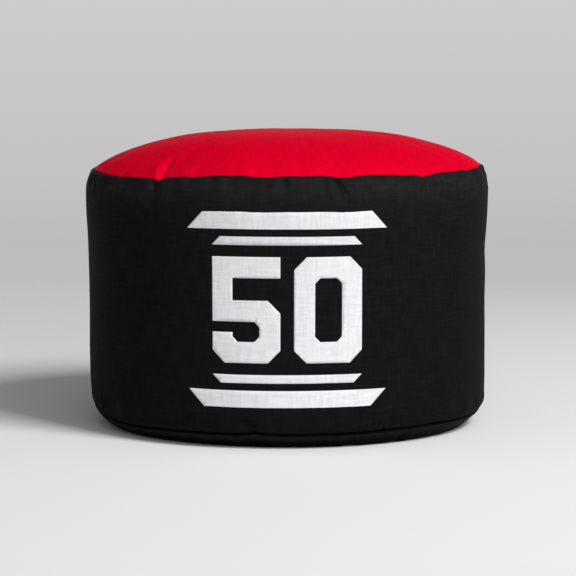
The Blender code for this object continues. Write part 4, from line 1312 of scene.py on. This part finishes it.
# Filling
panels.append(shown("ripstop_liner", filled_mesh(0), LINER, "liner_bag"))
ply = panels[-1].modifiers.new("ply", "SOLIDIFY")
ply.thickness = LINER_CLOTH
ply.offset = -1
shown("filling_neck", neck_mesh(), LINER, "liner_neck")
for word in ("hook", "loop"):
    cad_node = f"liner_{word}_strip"
    shown(word + "_strip_pile", strip_mesh(*corners(cad_node)), PILE, cad_node)
shown("sand_heap", filled_mesh(LINER_CLOTH + SAND_GAP), SAND, "sand_fill")


# Camera, lights and stage

def placed(name, data, place, rotation):
    """A lamp or camera as an object of the scene."""
    made = bpy.data.objects.new(name, data)
    made.location = place
    made.rotation_euler = rotation
    bpy.context.scene.collection.objects.link(made)
    return made


def lamp(name, place, size, level):
    """A square soft light, turned to the bag, that gives a white face turned to it the level."""
    data = bpy.data.lights.new(name, "AREA")
    data.size = size
    data.energy = level * math.pi ** 2 * Vector(place).length_squared
    aim = Vector((0, 0, 0.14)) - Vector(place)
    placed(name, data, place, aim.to_track_quat("-Z", "Y").to_euler())


lamp("key_light", (2.34, -2.51, 3.28), 1.62, 0.87)
lamp("front_light", (0.6, -3.55, 1.4), 2.2, 0.22)

camera_data = bpy.data.cameras.new("camera")
camera_data.lens = 180.8
camera_data.sensor_width = 36
camera_data.clip_end = 100
bpy.context.scene.camera = placed("camera", camera_data, (0.00075, -2.880, 0.4315),
                                  (math.pi / 2 - 0.103, 0, 0))


def studio_floor():
    """A pale floor that fades into the pale grey world; from below it isn't seen."""
    rows, columns = np.array([0.3, 0.8, 1.4, 2.0, 2.5, 3.0]), 96
    rings = turned(rows[:, None], 0, full_turn(columns)).reshape(-1, 3)
    faces, _, _ = grid_faces(len(rows), columns, False, True)
    middle = [[0, 1 + i, 1 + (i + 1) % columns] for i in range(columns)]
    mesh = bpy.data.meshes.new("studio_floor")
    mesh.from_pydata([[0, 0, 0], *rings.tolist()], [], (faces[:, ::-1] + 1).tolist() + middle)
    floor = bpy.data.objects.new("studio_floor", mesh)
    bpy.context.scene.collection.objects.link(floor)
    made, tree = finish("painted_studio_floor", Roughness=0.9, Specular_IOR_Level=0.1)
    shader = tree.nodes["Principled BSDF"]
    place = node(tree, "TexCoord").outputs["Object"]
    across = node(tree, "SeparateXYZ", Vector=place).outputs["Y"]
    back = node(tree, "MapRange", Value=across, From_Min=-1.0, From_Max=3.0)
    # The floor's grey is painted lighter from the front up to the bag, then level: painted light that makes
    # up for how the lamps' light falls off across the floor
    paint = node(tree, "ValToRGB", {"stops": greys((0, 227), (0.22, 244), (1, 243))}, Fac=back)
    tree.links.new(paint.outputs[0], shader.inputs["Base Color"])
    away = node(tree, "VectorMath LENGTH", _0=place).outputs["Value"]
    fade = node(tree, "MapRange", {"interpolation_type": "SMOOTHSTEP"}, Value=away,
                From_Min=0.7, From_Max=1.5)
    below = node(tree, "NewGeometry").outputs["Backfacing"]
    clear = node(tree, "Math MAXIMUM", _0=fade, _1=below)
    mixed = node(tree, "MixShader", Fac=clear, _1=shader, _2=node(tree, "BsdfTransparent"))
    tree.links.new(mixed.outputs[0], tree.nodes["Material Output"].inputs["Surface"])
    mesh.materials.append(made)


def studio_world():
    """Even pale light; to the camera and in reflections, a grey wall that pales to its foot."""
    world = bpy.data.worlds.new("studio")
    bpy.context.scene.world = world
    world.use_nodes = True
    tree = world.node_tree
    light = tree.nodes["Background"]
    light.inputs["Color"].default_value = colour("FFFFFF")
    light.inputs["Strength"].default_value = 0.19
    up = node(tree, "SeparateXYZ", Vector=node(tree, "TexCoord").outputs["Generated"]).outputs["Z"]
    height = node(tree, "MapRange", Value=up, From_Min=-0.15, From_Max=0.05)
    wall = greys((0, 218), (0.145, 208), (0.25, 190), (0.318, 188), (0.42, 194), (0.72, 204), (1, 206))
    seen = node(tree, "Background", Strength=1.0, Color=node(tree, "ValToRGB", {"stops": wall}, Fac=height))
    path = node(tree, "LightPath").outputs
    either = node(tree, "Math MAXIMUM", _0=path["Is Camera Ray"], _1=path["Is Glossy Ray"])
    either = node(tree, "Math MAXIMUM", _0=either, _1=path["Is Transmission Ray"])
    both = node(tree, "MixShader", Fac=either, _1=light, _2=seen)
    tree.links.new(both.outputs[0], tree.nodes["World Output"].inputs["Surface"])


studio_floor()
studio_world()
bpy.context.scene.view_settings.view_transform = "Standard"
